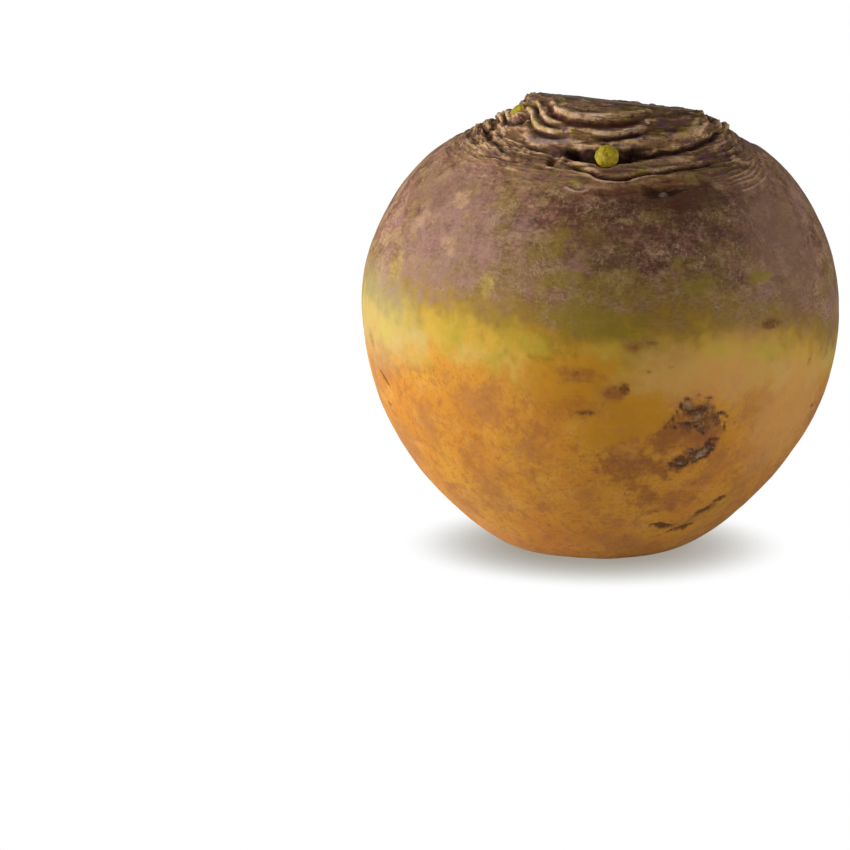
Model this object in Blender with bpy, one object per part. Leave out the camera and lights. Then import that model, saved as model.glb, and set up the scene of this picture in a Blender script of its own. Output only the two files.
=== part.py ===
"""A whole rutabaga: a swollen root that rests on its trimmed root end, and two leaf buds in its crown.

Sizes are in millimetres and become metres when a mesh is made. +Z is up and the origin is the middle of the
flat spot under the root. The crown's cut face is tipped, and its middle stands off the root's axis towards -Y.
A place on the root is given from the crown: an azimuth around the crown's middle, counted from +X, and a
distance from that middle along the skin.
"""

import math

import bmesh
import bpy
import numpy as np

METRES = 0.001

# The root: (radius, height) of its outline, from the top to the rim of the flat spot.
ROOT_OUTLINE = (
    (0.0, 111.5),
    (20.0, 110.2),
    (32.5, 106.8),
    (43.8, 100.0),
    (52.3, 90.0),
    (58.6, 76.0),
    (60.5, 60.0),
    (57.0, 41.0),
    (48.1, 24.0),
    (35.5, 10.0),
    (24.7, 2.0),
    (15.0, 0.0),
)
CURVE_STEPS = 24
DEPTH_SHARE = 0.975  # the root is a little narrower from front to back than from side to side
LOBE_SHARE = 0.006  # how far its five soft lobes stand out, as a share of the radius

# The crown: a low neck whose leaves were cut off with one slice.
CROWN_MIDDLE = (4.0, -9.5)
CROWN_FADE = (24.0, 95.0)  # between these distances the rings drift back to the root's axis
CUT_RADII = (20.8, 19.5)
CUT_HEIGHT = 114.9
CUT_SLOPE = (-0.101, -0.075)  # rise of the cut face towards +X and +Y
NECK_END = 31.0  # where the neck has sunk into the shoulder
NECK_EASE = 0.55  # share of the neck's fall that is eased rather than straight

# Leaf scars: crescents that wrap the neck. Each is a rounded ridge with a groove below it.
RIDGE_WIDTH = 1.5
GROOVE_WIDTH = 0.9
# (azimuth of the middle, half span, distance at the ends, distance in the middle, ridge, groove, drop)
FRONT_SCARS = (
    (-102.0, 46.0, 21.4, 24.2, 0.9, 0.9, 1.5),
    (-106.0, 44.0, 24.4, 26.8, 0.5, 0.4, 1.0),
    (-68.0, 58.0, 25.0, 28.0, 0.7, 1.6, 2.4),
    (-84.0, 66.0, 27.5, 34.6, 0.8, 1.4, 3.2),
    (-84.0, 60.0, 32.0, 40.2, 0.6, 0.5, 2.8),
)
BACK_SCARS = 9
BACK_MIDDLE = 90.0
BACK_SWEEP = 220.0
LEAF_TURN = 137.5  # degrees from one leaf to the next
BACK_SCAR_SPAN = 62.0
BACK_SCAR_DISTANCE = (23.0, 36.0)
BACK_SCAR_SAG = 3.4
BACK_SCAR_FORM = (0.7, 0.9, 1.9)  # ridge, groove, drop

# Leaf buds: (azimuth, distance, lift of the centre above the skin) and half sizes along, across and out.
FRONT_BUD = (-94.0, 31.0, 1.5)
FRONT_BUD_SIZE = (3.1, 3.05, 2.9)
LEFT_BUD = (-161.0, 25.6, 0.5)
LEFT_BUD_SIZE = (3.0, 2.2, 1.6)
BUD_SCALES = 5
BUD_SCALE_DEPTH = 0.06
BUD_GAP = 0.3
FACET_ALLOWANCE = 0.3  # how far the facets of a bud's socket cut into its round

# The mesh of the root: rings around the crown's middle, as many as each stretch needs.
RING_SIDES = 80
CUT_RINGS = (0.34, 0.67, 0.97, 1.0)  # as shares of the cut face's radius
NECK_STEP = 0.9
NECK_REACH = 23.0
BODY_RINGS = 21


def eased(low, high, value):
    """0 below low, 1 above high, and a smooth S between them."""
    share = np.clip((value - low) / (high - low), 0.0, 1.0)
    return share * share * (3.0 - 2.0 * share)


def smooth_outline(points, steps):
    """A Catmull-Rom curve through the points, level where it starts on the axis."""
    first, second = points[0], points[1]
    before_last, last = points[-2], points[-1]
    ahead = (-second[0], second[1])
    beyond = (2 * last[0] - before_last[0], 2 * last[1] - before_last[1])
    knots = np.array((ahead, first, *points[1:], beyond))
    share = np.linspace(0.0, 1.0, steps, endpoint=False)[:, None]
    stretches = []
    for a, b, c, d in zip(knots, knots[1:], knots[2:], knots[3:]):
        linear = c - a
        square = 2 * a - 5 * b + 4 * c - d
        cube = 3 * b - a - 3 * c + d
        stretches.append(b + 0.5 * (linear * share + square * share**2 + cube * share**3))
    return np.vstack([*stretches, last, (0.0, 0.0)])


OUTLINE = smooth_outline(ROOT_OUTLINE, CURVE_STEPS)
ALONG = np.concatenate([[0.0], np.cumsum(np.hypot(*np.diff(OUTLINE, axis=0).T))])


def cut_radius(azimuth):
    """Radius of the cut face's oval rim, from the crown's middle."""
    return 1.0 / np.hypot(np.cos(azimuth) / CUT_RADII[0], np.sin(azimuth) / CUT_RADII[1])


def cut_face_height(x, y):
    """Height of the slice that took the leaves off."""
    return CUT_HEIGHT + CUT_SLOPE[0] * (x - CROWN_MIDDLE[0]) + CUT_SLOPE[1] * (y - CROWN_MIDDLE[1])


def root_round(azimuth, distance):
    """The plain turned root with its neck and cut face, before the leaf scars."""
    off_axis = 1.0 - eased(*CROWN_FADE, distance)
    u = CROWN_MIDDLE[0] * off_axis + distance * np.cos(azimuth)
    v = CROWN_MIDDLE[1] * off_axis + distance * np.sin(azimuth)
    around = np.arctan2(v, u)
    arc = np.hypot(u, v)
    lobes = 1.0 + LOBE_SHARE * np.cos(5.0 * around + 1.0) * eased(30.0, 70.0, arc)
    depth = 1.0 - (1.0 - DEPTH_SHARE) * eased(40.0, 80.0, arc)
    radius = np.interp(arc, ALONG, OUTLINE[:, 0]) * lobes
    height = np.interp(arc, ALONG, OUTLINE[:, 1])
    x = radius * np.cos(around)
    y = radius * np.sin(around) * depth
    rim = cut_radius(azimuth)
    fall = np.clip((distance - rim) / (NECK_END - rim), 0.0, 1.0)
    neck = 1.0 - NECK_EASE * eased(0.0, 1.0, fall) - (1.0 - NECK_EASE) * fall
    return np.stack([x, y, height + neck * (cut_face_height(x, y) - height)], axis=-1)


def leaf_scars():
    """The scars at the front, and the rest of the spiral round the sides and the back."""
    scars = list(FRONT_SCARS)
    for number in range(BACK_SCARS):
        share = number / (BACK_SCARS - 1)
        azimuth = BACK_MIDDLE + (number * LEAF_TURN) % BACK_SWEEP - BACK_SWEEP / 2.0
        ends = BACK_SCAR_DISTANCE[0] + share * (BACK_SCAR_DISTANCE[1] - BACK_SCAR_DISTANCE[0])
        scars.append((azimuth, BACK_SCAR_SPAN, ends - BACK_SCAR_SAG, ends, *BACK_SCAR_FORM))
    return scars


def scar_relief(azimuth, distance, scar):
    """How far one leaf scar lifts or sinks the skin."""
    middle, half_span, at_ends, at_middle, ridge, groove, drop = scar
    turn = (np.degrees(azimuth) - middle + 180.0) % 360.0 - 180.0
    bow = np.cos(np.clip(turn / half_span, -1.0, 1.0) * math.pi / 2.0)
    beyond = distance - (at_ends + (at_middle - at_ends) * bow)
    relief = ridge * np.exp(-((beyond / RIDGE_WIDTH) ** 2))
    relief -= groove * np.exp(-(((beyond - drop) / GROOVE_WIDTH) ** 2))
    return relief * bow**0.6


def root_points(azimuth, distance):
    """The root's skin: the turned shape, raised and sunk along its normal by the leaf scars."""
    step = 0.05
    point = root_round(azimuth, distance)
    across = root_round(azimuth + step / np.maximum(distance, 1.0), distance) - point
    along = root_round(azimuth, distance + step) - point
    normal = np.cross(along, across)
    normal /= np.maximum(np.linalg.norm(normal, axis=-1, keepdims=True), 1e-9)
    relief = sum(scar_relief(azimuth, distance, scar) for scar in leaf_scars())
    rim = cut_radius(azimuth)
    relief = relief * eased(rim, rim + 1.0, distance)
    return point + normal * relief[..., None], normal


def ring_distances(azimuth):
    """Where each ring of the mesh crosses an azimuth, from the crown's middle to the middle of the foot."""
    rim = cut_radius(azimuth)
    rings = [share * rim for share in CUT_RINGS]
    rings += [rim + NECK_STEP * k for k in range(1, round(NECK_REACH / NECK_STEP) + 1)]
    foot_rim = ALONG[-2]
    rings += list(np.linspace(rings[-1], foot_rim, BODY_RINGS + 1)[1:])
    rings.append((foot_rim + ALONG[-1]) / 2.0)
    return np.array(rings)


def bud_frame(place):
    """Centre of a bud, and its directions across, along and out of the skin."""
    azimuth, distance, lift = place
    point, normal = root_points(np.array([math.radians(azimuth)]), np.array([distance]))
    out = normal[0]
    across = np.cross((0.0, 0.0, 1.0), out)
    across /= np.linalg.norm(across)
    return point[0] + out * lift, np.array([np.cross(out, across), across, out])


def make_sockets(points, buds):
    """Hollows the skin round each bud, so that it sits in the crown with a gap all round."""
    for place, size in buds:
        centre, axes = bud_frame(place)
        room = np.array(size) + BUD_GAP + FACET_ALLOWANCE
        local = (points - centre) @ axes.T
        side = np.minimum((local[:, :2] ** 2 / room[:2] ** 2).sum(axis=1), 1.0)
        floor = -room[2] * np.sqrt(1.0 - side)
        inside = (side < 1.0) & (local[:, 2] > floor)
        points[inside] += (floor - local[:, 2])[inside, None] * axes[2]
    return points


def material(name, colour, roughness):
    made = bpy.data.materials.new(name)
    made.use_nodes = True
    shader = made.node_tree.nodes["Principled BSDF"]
    shader.inputs["Base Color"].default_value = (*colour, 1.0)
    shader.inputs["Roughness"].default_value = roughness
    shader.inputs["Metallic"].default_value = 0.0
    return made


def object_from(name, mesh_builder, skin):
    """Turns a bmesh in millimetres into a smooth-shaded object in metres."""
    bmesh.ops.scale(mesh_builder, vec=(METRES,) * 3, verts=mesh_builder.verts)
    bmesh.ops.recalc_face_normals(mesh_builder, faces=mesh_builder.faces)
    mesh = bpy.data.meshes.new(name)
    mesh_builder.to_mesh(mesh)
    mesh_builder.free()
    mesh.shade_smooth()
    mesh.set_sharp_from_angle(angle=math.radians(50.0))
    mesh.materials.append(skin)
    made = bpy.data.objects.new(name, mesh)
    bpy.context.scene.collection.objects.link(made)
    return made


def make_root(buds):
    """A globe of rings, each ring laid at its own distance from the crown's middle."""
    ring_count = len(ring_distances(0.0))
    globe = bmesh.new()
    bmesh.ops.create_uvsphere(globe, u_segments=RING_SIDES, v_segments=ring_count + 1, radius=1.0)
    azimuths = np.empty(len(globe.verts))
    distances = np.empty(len(globe.verts))
    for index, vert in enumerate(globe.verts):
        ring = round(math.acos(max(-1.0, min(1.0, vert.co.z))) / math.pi * (ring_count + 1))
        azimuths[index] = math.atan2(vert.co.y, vert.co.x)
        stops = (0.0, *ring_distances(azimuths[index]), ALONG[-1])
        distances[index] = stops[ring]
    points = make_sockets(root_points(azimuths, distances)[0], buds)
    points[distances >= ALONG[-2] - 1e-6, 2] = 0.0
    for vert, point in zip(globe.verts, points):
        vert.co = point
    skin = material("root_skin", (0.36, 0.20, 0.13), 0.55)
    return object_from("rutabaga_root", globe, skin)


def make_bud(name, place, size):
    """A knob of small closed leaves: a ball with a scale's hollow between each two leaves."""
    centre, axes = bud_frame(place)
    knob = bmesh.new()
    bmesh.ops.create_icosphere(knob, subdivisions=3, radius=1.0)
    for vert in knob.verts:
        around = math.atan2(vert.co.y, vert.co.x)
        sideways = math.hypot(vert.co.x, vert.co.y)
        hollow = BUD_SCALE_DEPTH * sideways * (1.0 - math.cos(BUD_SCALES * around)) / 2.0
        local = np.array(vert.co) * (1.0 - hollow) * np.array(size)
        vert.co = centre + local @ axes
    return object_from(name, knob, material(name + "_leaf", (0.42, 0.42, 0.04), 0.5))


def clear_scene():
    for old in list(bpy.data.objects):
        bpy.data.objects.remove(old, do_unlink=True)


def main():
    clear_scene()
    buds = ((FRONT_BUD, FRONT_BUD_SIZE), (LEFT_BUD, LEFT_BUD_SIZE))
    make_root(buds)
    make_bud("crown_bud_front", *buds[0])
    make_bud("crown_bud_left", *buds[1])


main()
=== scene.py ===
"""The looks of a whole rutabaga: purple shoulders with corky netting, a tan belly, a crown of folded leaf
scars cut off flat, and two yellow-green leaf buds.

Shapes are worked out in millimetres in the frame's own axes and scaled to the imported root. +Z is up, and the
side with the larger bud faces -Y. A place near the crown is given as an azimuth in degrees, counted from +X
around the crown's middle, and a distance from that middle along the skin. A place on the belly is given as an
azimuth around the root's axis and a height.
"""

import math

import bpy
import numpy as np
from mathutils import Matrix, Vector


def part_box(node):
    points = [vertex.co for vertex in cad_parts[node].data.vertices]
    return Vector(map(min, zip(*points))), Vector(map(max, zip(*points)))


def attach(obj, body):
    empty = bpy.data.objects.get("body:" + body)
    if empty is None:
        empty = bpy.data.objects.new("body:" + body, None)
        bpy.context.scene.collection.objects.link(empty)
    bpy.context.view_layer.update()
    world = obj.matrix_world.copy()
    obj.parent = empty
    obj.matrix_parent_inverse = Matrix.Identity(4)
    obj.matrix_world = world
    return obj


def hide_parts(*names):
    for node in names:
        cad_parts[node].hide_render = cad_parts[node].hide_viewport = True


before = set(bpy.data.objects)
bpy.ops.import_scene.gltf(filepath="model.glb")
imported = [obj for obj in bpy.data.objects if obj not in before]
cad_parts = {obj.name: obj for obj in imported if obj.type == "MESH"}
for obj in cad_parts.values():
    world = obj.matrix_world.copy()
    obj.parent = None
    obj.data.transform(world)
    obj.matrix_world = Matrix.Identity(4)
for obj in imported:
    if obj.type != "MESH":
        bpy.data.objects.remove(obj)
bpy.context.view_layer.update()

ROOT_LOW, ROOT_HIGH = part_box("rutabaga_root")
ROOT_WIDTH = 121.0
MM = (ROOT_HIGH.x - ROOT_LOW.x) / ROOT_WIDTH  # one millimetre of the shapes below, in the frame's metres

# ---------------------------------------------------------------- the turned shape of the root

ROOT_OUTLINE = (  # (radius, height) from the top to the rim of the flat spot
    (0.0, 111.5),
    (20.0, 110.2),
    (32.5, 106.8),
    (43.8, 100.0),
    (52.3, 90.0),
    (58.6, 76.0),
    (60.5, 60.0),
    (57.0, 41.0),
    (48.1, 24.0),
    (35.5, 10.0),
    (24.7, 2.0),
    (15.0, 0.0),
)
OUTLINE_STEPS = 24
DEPTH_SHARE = 0.975  # a little narrower from front to back than from side to side
LOBE_SHARE = 0.006

CROWN_MIDDLE = (4.0, -9.5)
CROWN_FADE = (24.0, 95.0)  # between these distances the rings drift back to the root's axis
CUT_RADII = (20.8, 19.5)
CUT_HEIGHT = 114.9
CUT_SLOPE = (-0.101, -0.075)
NECK_END = 31.0
NECK_EASE = 0.55


def eased(low, high, value):
    """0 below low, 1 above high, and a smooth S between them."""
    share = np.clip((value - low) / (high - low), 0.0, 1.0)
    return share * share * (3.0 - 2.0 * share)


def bump(value, width):
    """1 at the middle, falling away on both sides."""
    return np.exp(-((value / width) ** 2))


def curve_through(knots, steps):
    """A Catmull-Rom curve from the second knot to the last but one."""
    knots = np.array(knots, float)
    share = np.linspace(0.0, 1.0, steps, endpoint=False)[:, None]
    stretches = []
    for a, b, c, d in zip(knots, knots[1:], knots[2:], knots[3:]):
        linear = c - a
        square = 2 * a - 5 * b + 4 * c - d
        cube = 3 * b - a - 3 * c + d
        stretches.append(b + 0.5 * (linear * share + square * share**2 + cube * share**3))
    return np.vstack([*stretches, knots[-2]])


def beyond_end(before, end):
    """The knot that carries a curve straight on past its end."""
    return 2 * np.array(end) - np.array(before)


def root_outline():
    """The outline as a fine curve, level on the axis at the top and closed by the flat spot."""
    top, below = ROOT_OUTLINE[:2]
    mirrored = (-below[0], below[1])
    last = beyond_end(*ROOT_OUTLINE[-2:])
    return np.vstack([curve_through((mirrored, top, *ROOT_OUTLINE[1:], last), OUTLINE_STEPS), (0.0, 0.0)])


OUTLINE = root_outline()
ALONG = np.concatenate([[0.0], np.cumsum(np.hypot(*np.diff(OUTLINE, axis=0).T))])
FOOT_RIM, FOOT_MIDDLE = ALONG[-2], ALONG[-1]


def cut_radius(azimuth):
    """Radius of the cut face's oval rim, from the crown's middle."""
    return 1.0 / np.hypot(np.cos(azimuth) / CUT_RADII[0], np.sin(azimuth) / CUT_RADII[1])


def cut_face_height(x, y):
    """Height of the slice that took the leaves off."""
    return CUT_HEIGHT + CUT_SLOPE[0] * (x - CROWN_MIDDLE[0]) + CUT_SLOPE[1] * (y - CROWN_MIDDLE[1])


def root_round(azimuth, distance):
    """The plain turned root with its neck and cut face, before any relief."""
    off_axis = 1.0 - eased(*CROWN_FADE, distance)
    u = CROWN_MIDDLE[0] * off_axis + distance * np.cos(azimuth)
    v = CROWN_MIDDLE[1] * off_axis + distance * np.sin(azimuth)
    around = np.arctan2(v, u)
    arc = np.hypot(u, v)
    lobes = 1.0 + LOBE_SHARE * np.cos(5.0 * around + 1.0) * eased(30.0, 70.0, arc)
    depth = 1.0 - (1.0 - DEPTH_SHARE) * eased(40.0, 80.0, arc)
    radius = np.interp(arc, ALONG, OUTLINE[:, 0]) * lobes
    height = np.interp(arc, ALONG, OUTLINE[:, 1])
    x = radius * np.cos(around)
    y = radius * np.sin(around) * depth
    rim = cut_radius(azimuth)
    fall = np.clip((distance - rim) / (NECK_END - rim), 0.0, 1.0)
    neck = 1.0 - NECK_EASE * eased(0.0, 1.0, fall) - (1.0 - NECK_EASE) * fall
    return np.stack([x, y, height + neck * (cut_face_height(x, y) - height)], axis=-1)


def outward(azimuth, distance):
    """A point of the turned shape and the direction straight out of it."""
    step = 0.05
    point = root_round(azimuth, distance)
    across = root_round(azimuth + step / np.maximum(distance, 1.0), distance) - point
    along = root_round(azimuth, distance + step) - point
    normal = np.cross(along, across)
    return point, normal / np.maximum(np.linalg.norm(normal, axis=-1, keepdims=True), 1e-9)


def crown_map(azimuth, distance):
    """A flat map of the crown: millimetres from its middle towards +X and +Y."""
    return np.stack([distance * np.cos(azimuth), distance * np.sin(azimuth)], axis=-1)


# ---------------------------------------------------------------- repeatable roughness

CORNER_FACTORS = (374761393, 668265263, 974634777)  # large odd numbers that scatter the lattice's corners
SEED_FACTOR = 144664561
STIRRINGS = ((13, 1274126177), (16, 668265263))
WORD = 0xFFFFFFFF
LAYER_SHIFT = 17.3  # sets the layers and the seeds apart


def corner_value(corner, seed):
    """A number from -1 to 1 that belongs to a corner of a cubic lattice."""
    mixed = sum(corner[..., axis] * factor for axis, factor in enumerate(CORNER_FACTORS))
    mixed = (mixed + seed * SEED_FACTOR) & WORD
    for shift, factor in STIRRINGS:
        mixed = ((mixed ^ (mixed >> shift)) * factor) & WORD
    return (mixed >> 8 & 0xFFFF) / 32767.5 - 1.0


def rough(points, size, seed, layers=1):
    """Smooth noise from -1 to 1 with features about size millimetres; each further layer is half as big."""
    total, weight = 0.0, 0.0
    for layer in range(layers):
        scaled = points * (2.0**layer / size) + LAYER_SHIFT * (layer + seed)
        cell = np.floor(scaled).astype(np.int64)
        share = scaled - cell
        share = share * share * (3.0 - 2.0 * share)
        value = 0.0
        for corner in np.ndindex(2, 2, 2):
            near = np.where(np.array(corner) == 1, share, 1.0 - share).prod(axis=-1)
            value = value + near * corner_value(cell + np.array(corner), seed)
        total = total + value * 0.5**layer
        weight += 0.5**layer
    return total / weight


def ridged(points, size, seed, layers=1):
    """Noise with sharp crests, from about -1 to 0.5: highest along wandering lines."""
    return 0.5 - 2.5 * np.abs(rough(points, size, seed, layers))


# ---------------------------------------------------------------- folds and furrows of the crown

LINE_STEPS = 10
LINE_END = 0.9


class Crease:
    """A fold, or a furrow where the lift is below 0: a smooth line through places on the crown's map.

    The places are (azimuth, distance) and run anticlockwise seen from above, so that the inner width is on
    the side of the cut face. Both ends taper away.
    """

    def __init__(self, lift, inner, outer, stain, weight, *places, taper=5.0):
        self.lift, self.inner, self.outer = lift, inner, outer
        self.stain, self.weight, self.taper = stain, weight, taper
        corners = crown_map(np.radians([a for a, _ in places]), np.array([d for _, d in places]))
        before, after = beyond_end(corners[1], corners[0]), beyond_end(corners[-2], corners[-1])
        self.path = curve_through((before, *corners, after), LINE_STEPS)
        heading = np.gradient(self.path, axis=0)
        self.heading = heading / np.linalg.norm(heading, axis=1, keepdims=True)
        along = np.concatenate([[0.0], np.cumsum(np.hypot(*np.diff(self.path, axis=0).T))])
        self.from_end = np.minimum(along, along[-1] - along)

    def press(self, places):
        """The places that the crease reaches, and how full it is at each of them."""
        reach = 2.5 * max(self.inner, self.outer)
        low, high = self.path.min(axis=0) - reach, self.path.max(axis=0) + reach
        rows = np.flatnonzero(((places > low) & (places < high)).all(axis=1))
        gap = places[rows, None] - self.path[None]
        nearest = (gap**2).sum(axis=2).argmin(axis=1)
        gap = gap[np.arange(len(rows)), nearest]
        heading = self.heading[nearest]
        outside = heading[:, 1] * gap[:, 0] - heading[:, 0] * gap[:, 1]
        past_end = (heading * gap).sum(axis=1)
        full = eased(0.0, self.taper, self.from_end[nearest] + 0.3) * bump(past_end, LINE_END)
        return rows, full * bump(outside, np.where(outside < 0.0, self.inner, self.outer))


# A furrow's dark or maroon stain is partly the skin's own dark colour and partly painted shade in the furrow.
# lift, inner width, outer width, stain, weight of the stain, then the places
FRONT_CREASES = {
    "lip": Crease(
        1.1, 0.75, 0.7, "tan", 0.68,
        (-142, 21), (-135, 22.4), (-130, 23.5), (-125, 24.2), (-117, 24.5), (-105, 24.1), (-94, 23.8),
        (-86, 23.4), (-76, 22.7), (-65, 21.8),
    ),
    "under the lip": Crease(
        -1.2, 0.5, 0.55, "maroon", 0.9,
        (-141, 22.5), (-134, 23.9), (-127, 25), (-119, 25.4), (-112, 25.7), (-104, 25.6), (-93, 25.3),
        (-83, 24.7), (-71, 23.8),
    ),
    "left fold": Crease(
        0.8, 0.45, 0.45, "tan", 0.68,
        (-152, 22.9), (-144, 23.7), (-138, 24.9), (-133, 25.6), (-127, 25.9), (-120, 25.9),
    ),
    "under the left fold": Crease(
        -0.7, 0.4, 0.4, "dark", 0.6,
        (-151, 23.8), (-144, 24.7), (-138, 25.8), (-132, 26.5), (-126, 26.7), (-119, 26.5),
    ),
    "second lip": Crease(
        0.6, 0.5, 0.4, "tan", 0.9,
        (-108, 27), (-97, 26.9), (-90, 26.7), (-83, 26.2), (-76, 25.7), (-70, 25),
    ),
    "under the second lip": Crease(
        -0.9, 0.35, 0.35, "dark", 0.9,
        (-102, 27.9), (-93, 27.6), (-85, 27.1), (-77, 26.5), (-69, 25.7),
    ),
    "second left fold": Crease(
        0.9, 0.5, 0.55, "tan", 0.68,
        (-154, 24.4), (-148, 25), (-142, 26), (-136, 27), (-130, 27.4), (-123, 27.4), (-116, 27.1),
    ),
    "smooth grey fold": Crease(
        0.7, 0.6, 0.5, "lavender", 0.8,
        (-145, 28.7), (-138, 29.3), (-132, 29.7), (-127, 29.6), (-120, 28.9), (-114, 28.5), (-106, 28.1),
    ),
    "under the grey fold": Crease(
        -0.7, 0.45, 0.5, "dark", 0.5,
        (-146, 30), (-139, 30.6), (-132, 30.9), (-126, 30.7), (-119, 30.1),
    ),
    "above the lip": Crease(
        -0.35, 0.5, 0.35, "dark", 0.6,
        (-124, 23.1), (-119, 23.4), (-111, 23.2), (-100, 22.7), (-91, 22.2),
    ),
    "under the second left fold": Crease(
        -0.7, 0.4, 0.45, "dark", 0.6,
        (-155, 25.2), (-149, 25.9), (-142, 27.1), (-135, 28), (-128, 28.2), (-121, 28), (-114, 27.7),
    ),
    "right crest": Crease(
        0.8, 0.5, 0.6, "tan", 0.9,
        (-47, 25.6), (-41, 24.9), (-35, 24), (-28, 23.2),
    ),
    "second right crest": Crease(
        0.7, 0.45, 0.5, "tan", 0.9,
        (-47, 27.6), (-41, 26.9), (-35, 26), (-28, 25.1), (-20, 24.7),
    ),
    "broad fold": Crease(
        0.9, 0.8, 0.9, "tan", 0.6,
        (-104, 28.9), (-94, 28.7), (-80, 28), (-64, 27.3), (-50, 26.7), (-38, 25.8), (-30, 24.6),
    ),
    "wide groove": Crease(
        -2.6, 1.1, 1.3, "dark", 1.0,
        (-116, 29.8), (-108, 30.9), (-99, 31.2), (-88, 30.9), (-76, 30.3),
    ),
    "wide groove to the right": Crease(
        -1.4, 0.4, 0.45, "dark", 0.95,
        (-84, 30.5), (-73, 29.9), (-62, 29.5), (-50, 29), (-41, 28.5), (-32, 27.9), (-22, 27.4),
        (-12, 27.2),
    ),
    "shelf": Crease(
        0.9, 1.1, 1.5, "tan", 0.5,
        (-113, 33), (-106, 34), (-98, 34.8), (-89, 34.4), (-80, 33), (-70, 31.9), (-58, 31.5), (-45, 30.9),
        (-32, 29.6), (-19, 28.9),
    ),
    "low groove": Crease(
        -1.9, 0.55, 0.85, "maroon", 1.0,
        (-110, 35.5), (-104, 36), (-99, 36.9), (-94, 38.1), (-89, 38.3), (-84, 37.4), (-77, 35.9),
        (-69, 34.9), (-60, 34.2), (-50, 33.9), (-42, 33.6),
    ),
    "thread": Crease(
        0.6, 0.35, 0.4, "pink", 1.0,
        (-108, 36.4), (-103, 37.3), (-98, 38.7), (-94, 39.6), (-88, 40), (-83, 38.9), (-77, 37.5),
        (-69, 36.5),
    ),
    "low band": Crease(
        0.6, 1.1, 1.2, "tan", 0.4,
        (-107, 41.2), (-97, 42.2), (-89, 41.6), (-81, 39.9), (-72, 38), (-63, 37.4), (-53, 38.2),
    ),
    "under the low band": Crease(
        -0.5, 0.6, 0.8, "maroon", 0.5,
        (-99, 44.2), (-90, 44), (-82, 42.9), (-76, 41.6), (-66, 40.6), (-57, 41.2),
    ),
    "forked thread": Crease(
        0.5, 0.4, 0.4, "pink", 0.8,
        (-107, 42.6), (-103, 44.2), (-100, 44), (-97, 42.4), taper=2.0,
    ),
    "right wrinkle": Crease(
        0.45, 0.35, 0.4, "tan", 0.9,
        (-46, 40), (-40, 40), (-31, 39.5), (-21, 38.2), (-12, 36.8),
    ),
    "second right wrinkle": Crease(
        0.4, 0.3, 0.35, "pink", 0.7,
        (-47, 41.6), (-39, 41.3), (-31, 41), (-23, 39.8), (-14, 38.4),
    ),
    "third right wrinkle": Crease(
        0.45, 0.35, 0.4, "tan", 0.8,
        (-45, 43), (-39, 42.6), (-32, 42.4), (-25, 41.5), (-16, 40),
    ),
    "lowest right wrinkle": Crease(
        0.35, 0.35, 0.4, "pink", 0.7,
        (-45, 45.5), (-39, 45.1), (-31, 44.6), (-22, 43.1), (-14, 41.5),
    ),
    "left crack": Crease(
        -0.7, 0.4, 0.4, "maroon", 0.8,
        (-156, 39.2), (-149, 38.3), (-142, 37.4), (-134, 37), (-127, 35.4),
    ),
    "left scale": Crease(
        0.6, 1.2, 1.0, "tan", 0.8,
        (-165, 38), (-158, 36.6), (-150, 35.8), (-143, 35.4),
    ),
    "scale under the left bud": Crease(
        0.6, 0.7, 0.6, "tan", 0.7,
        (-172, 30.4), (-165, 31.4), (-158, 32.2), (-149, 31.8), (-142, 31.2),
    ),
    "furrow under the left bud": Crease(
        -0.7, 0.5, 0.5, "maroon", 0.7,
        (-170, 32.4), (-162, 33.3), (-153, 33.4), (-145, 32.7),
    ),
}

# The rest of the spiral: crescents round the sides and the back.
SPIRAL_SCARS = 26
SPIRAL_MIDDLE = 90.0
SPIRAL_SWEEP = 235.0
LEAF_TURN = 137.5  # degrees from one leaf to the next
SPIRAL_DISTANCE = (24.6, 40.0)
SPIRAL_SAG = 3.4
SPIRAL_SPAN = (30.0, 62.0)
SPIRAL_DROP = (1.3, 2.0)
SPIRAL_LIFT = (0.6, 1.1)
SPIRAL_DEPTH = (0.8, 1.9)
SPIRAL_SEED = 11
SPIRAL_WIDTH = (0.5, 1.0)
SPIRAL_WEIGHT = (0.5, 0.9)
SPIRAL_DARKNESS = (0.7, 1.0)
SPIRAL_STAINS = ("tan", "pink", "tan", "lavender", "olive")
SPIRAL_PLACES = 7
SPIRAL_WAVE = 0.35
SPIRAL_TAPER = 7.0
SPIRAL_LEAST_SPAN = 10.0
SPAN_LOSS, LIFT_LOSS, DEPTH_LOSS = 0.35, 0.75, 0.7  # how much the lowest leaf scars have lost
LOW_SCARS = 28.0
SMOOTH_RIGHT = 26.0  # below this azimuth the scars are the ones of the front
SCALES_FROM = 165.0  # beyond this azimuth the low leaf scars have broken up into scales


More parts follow.
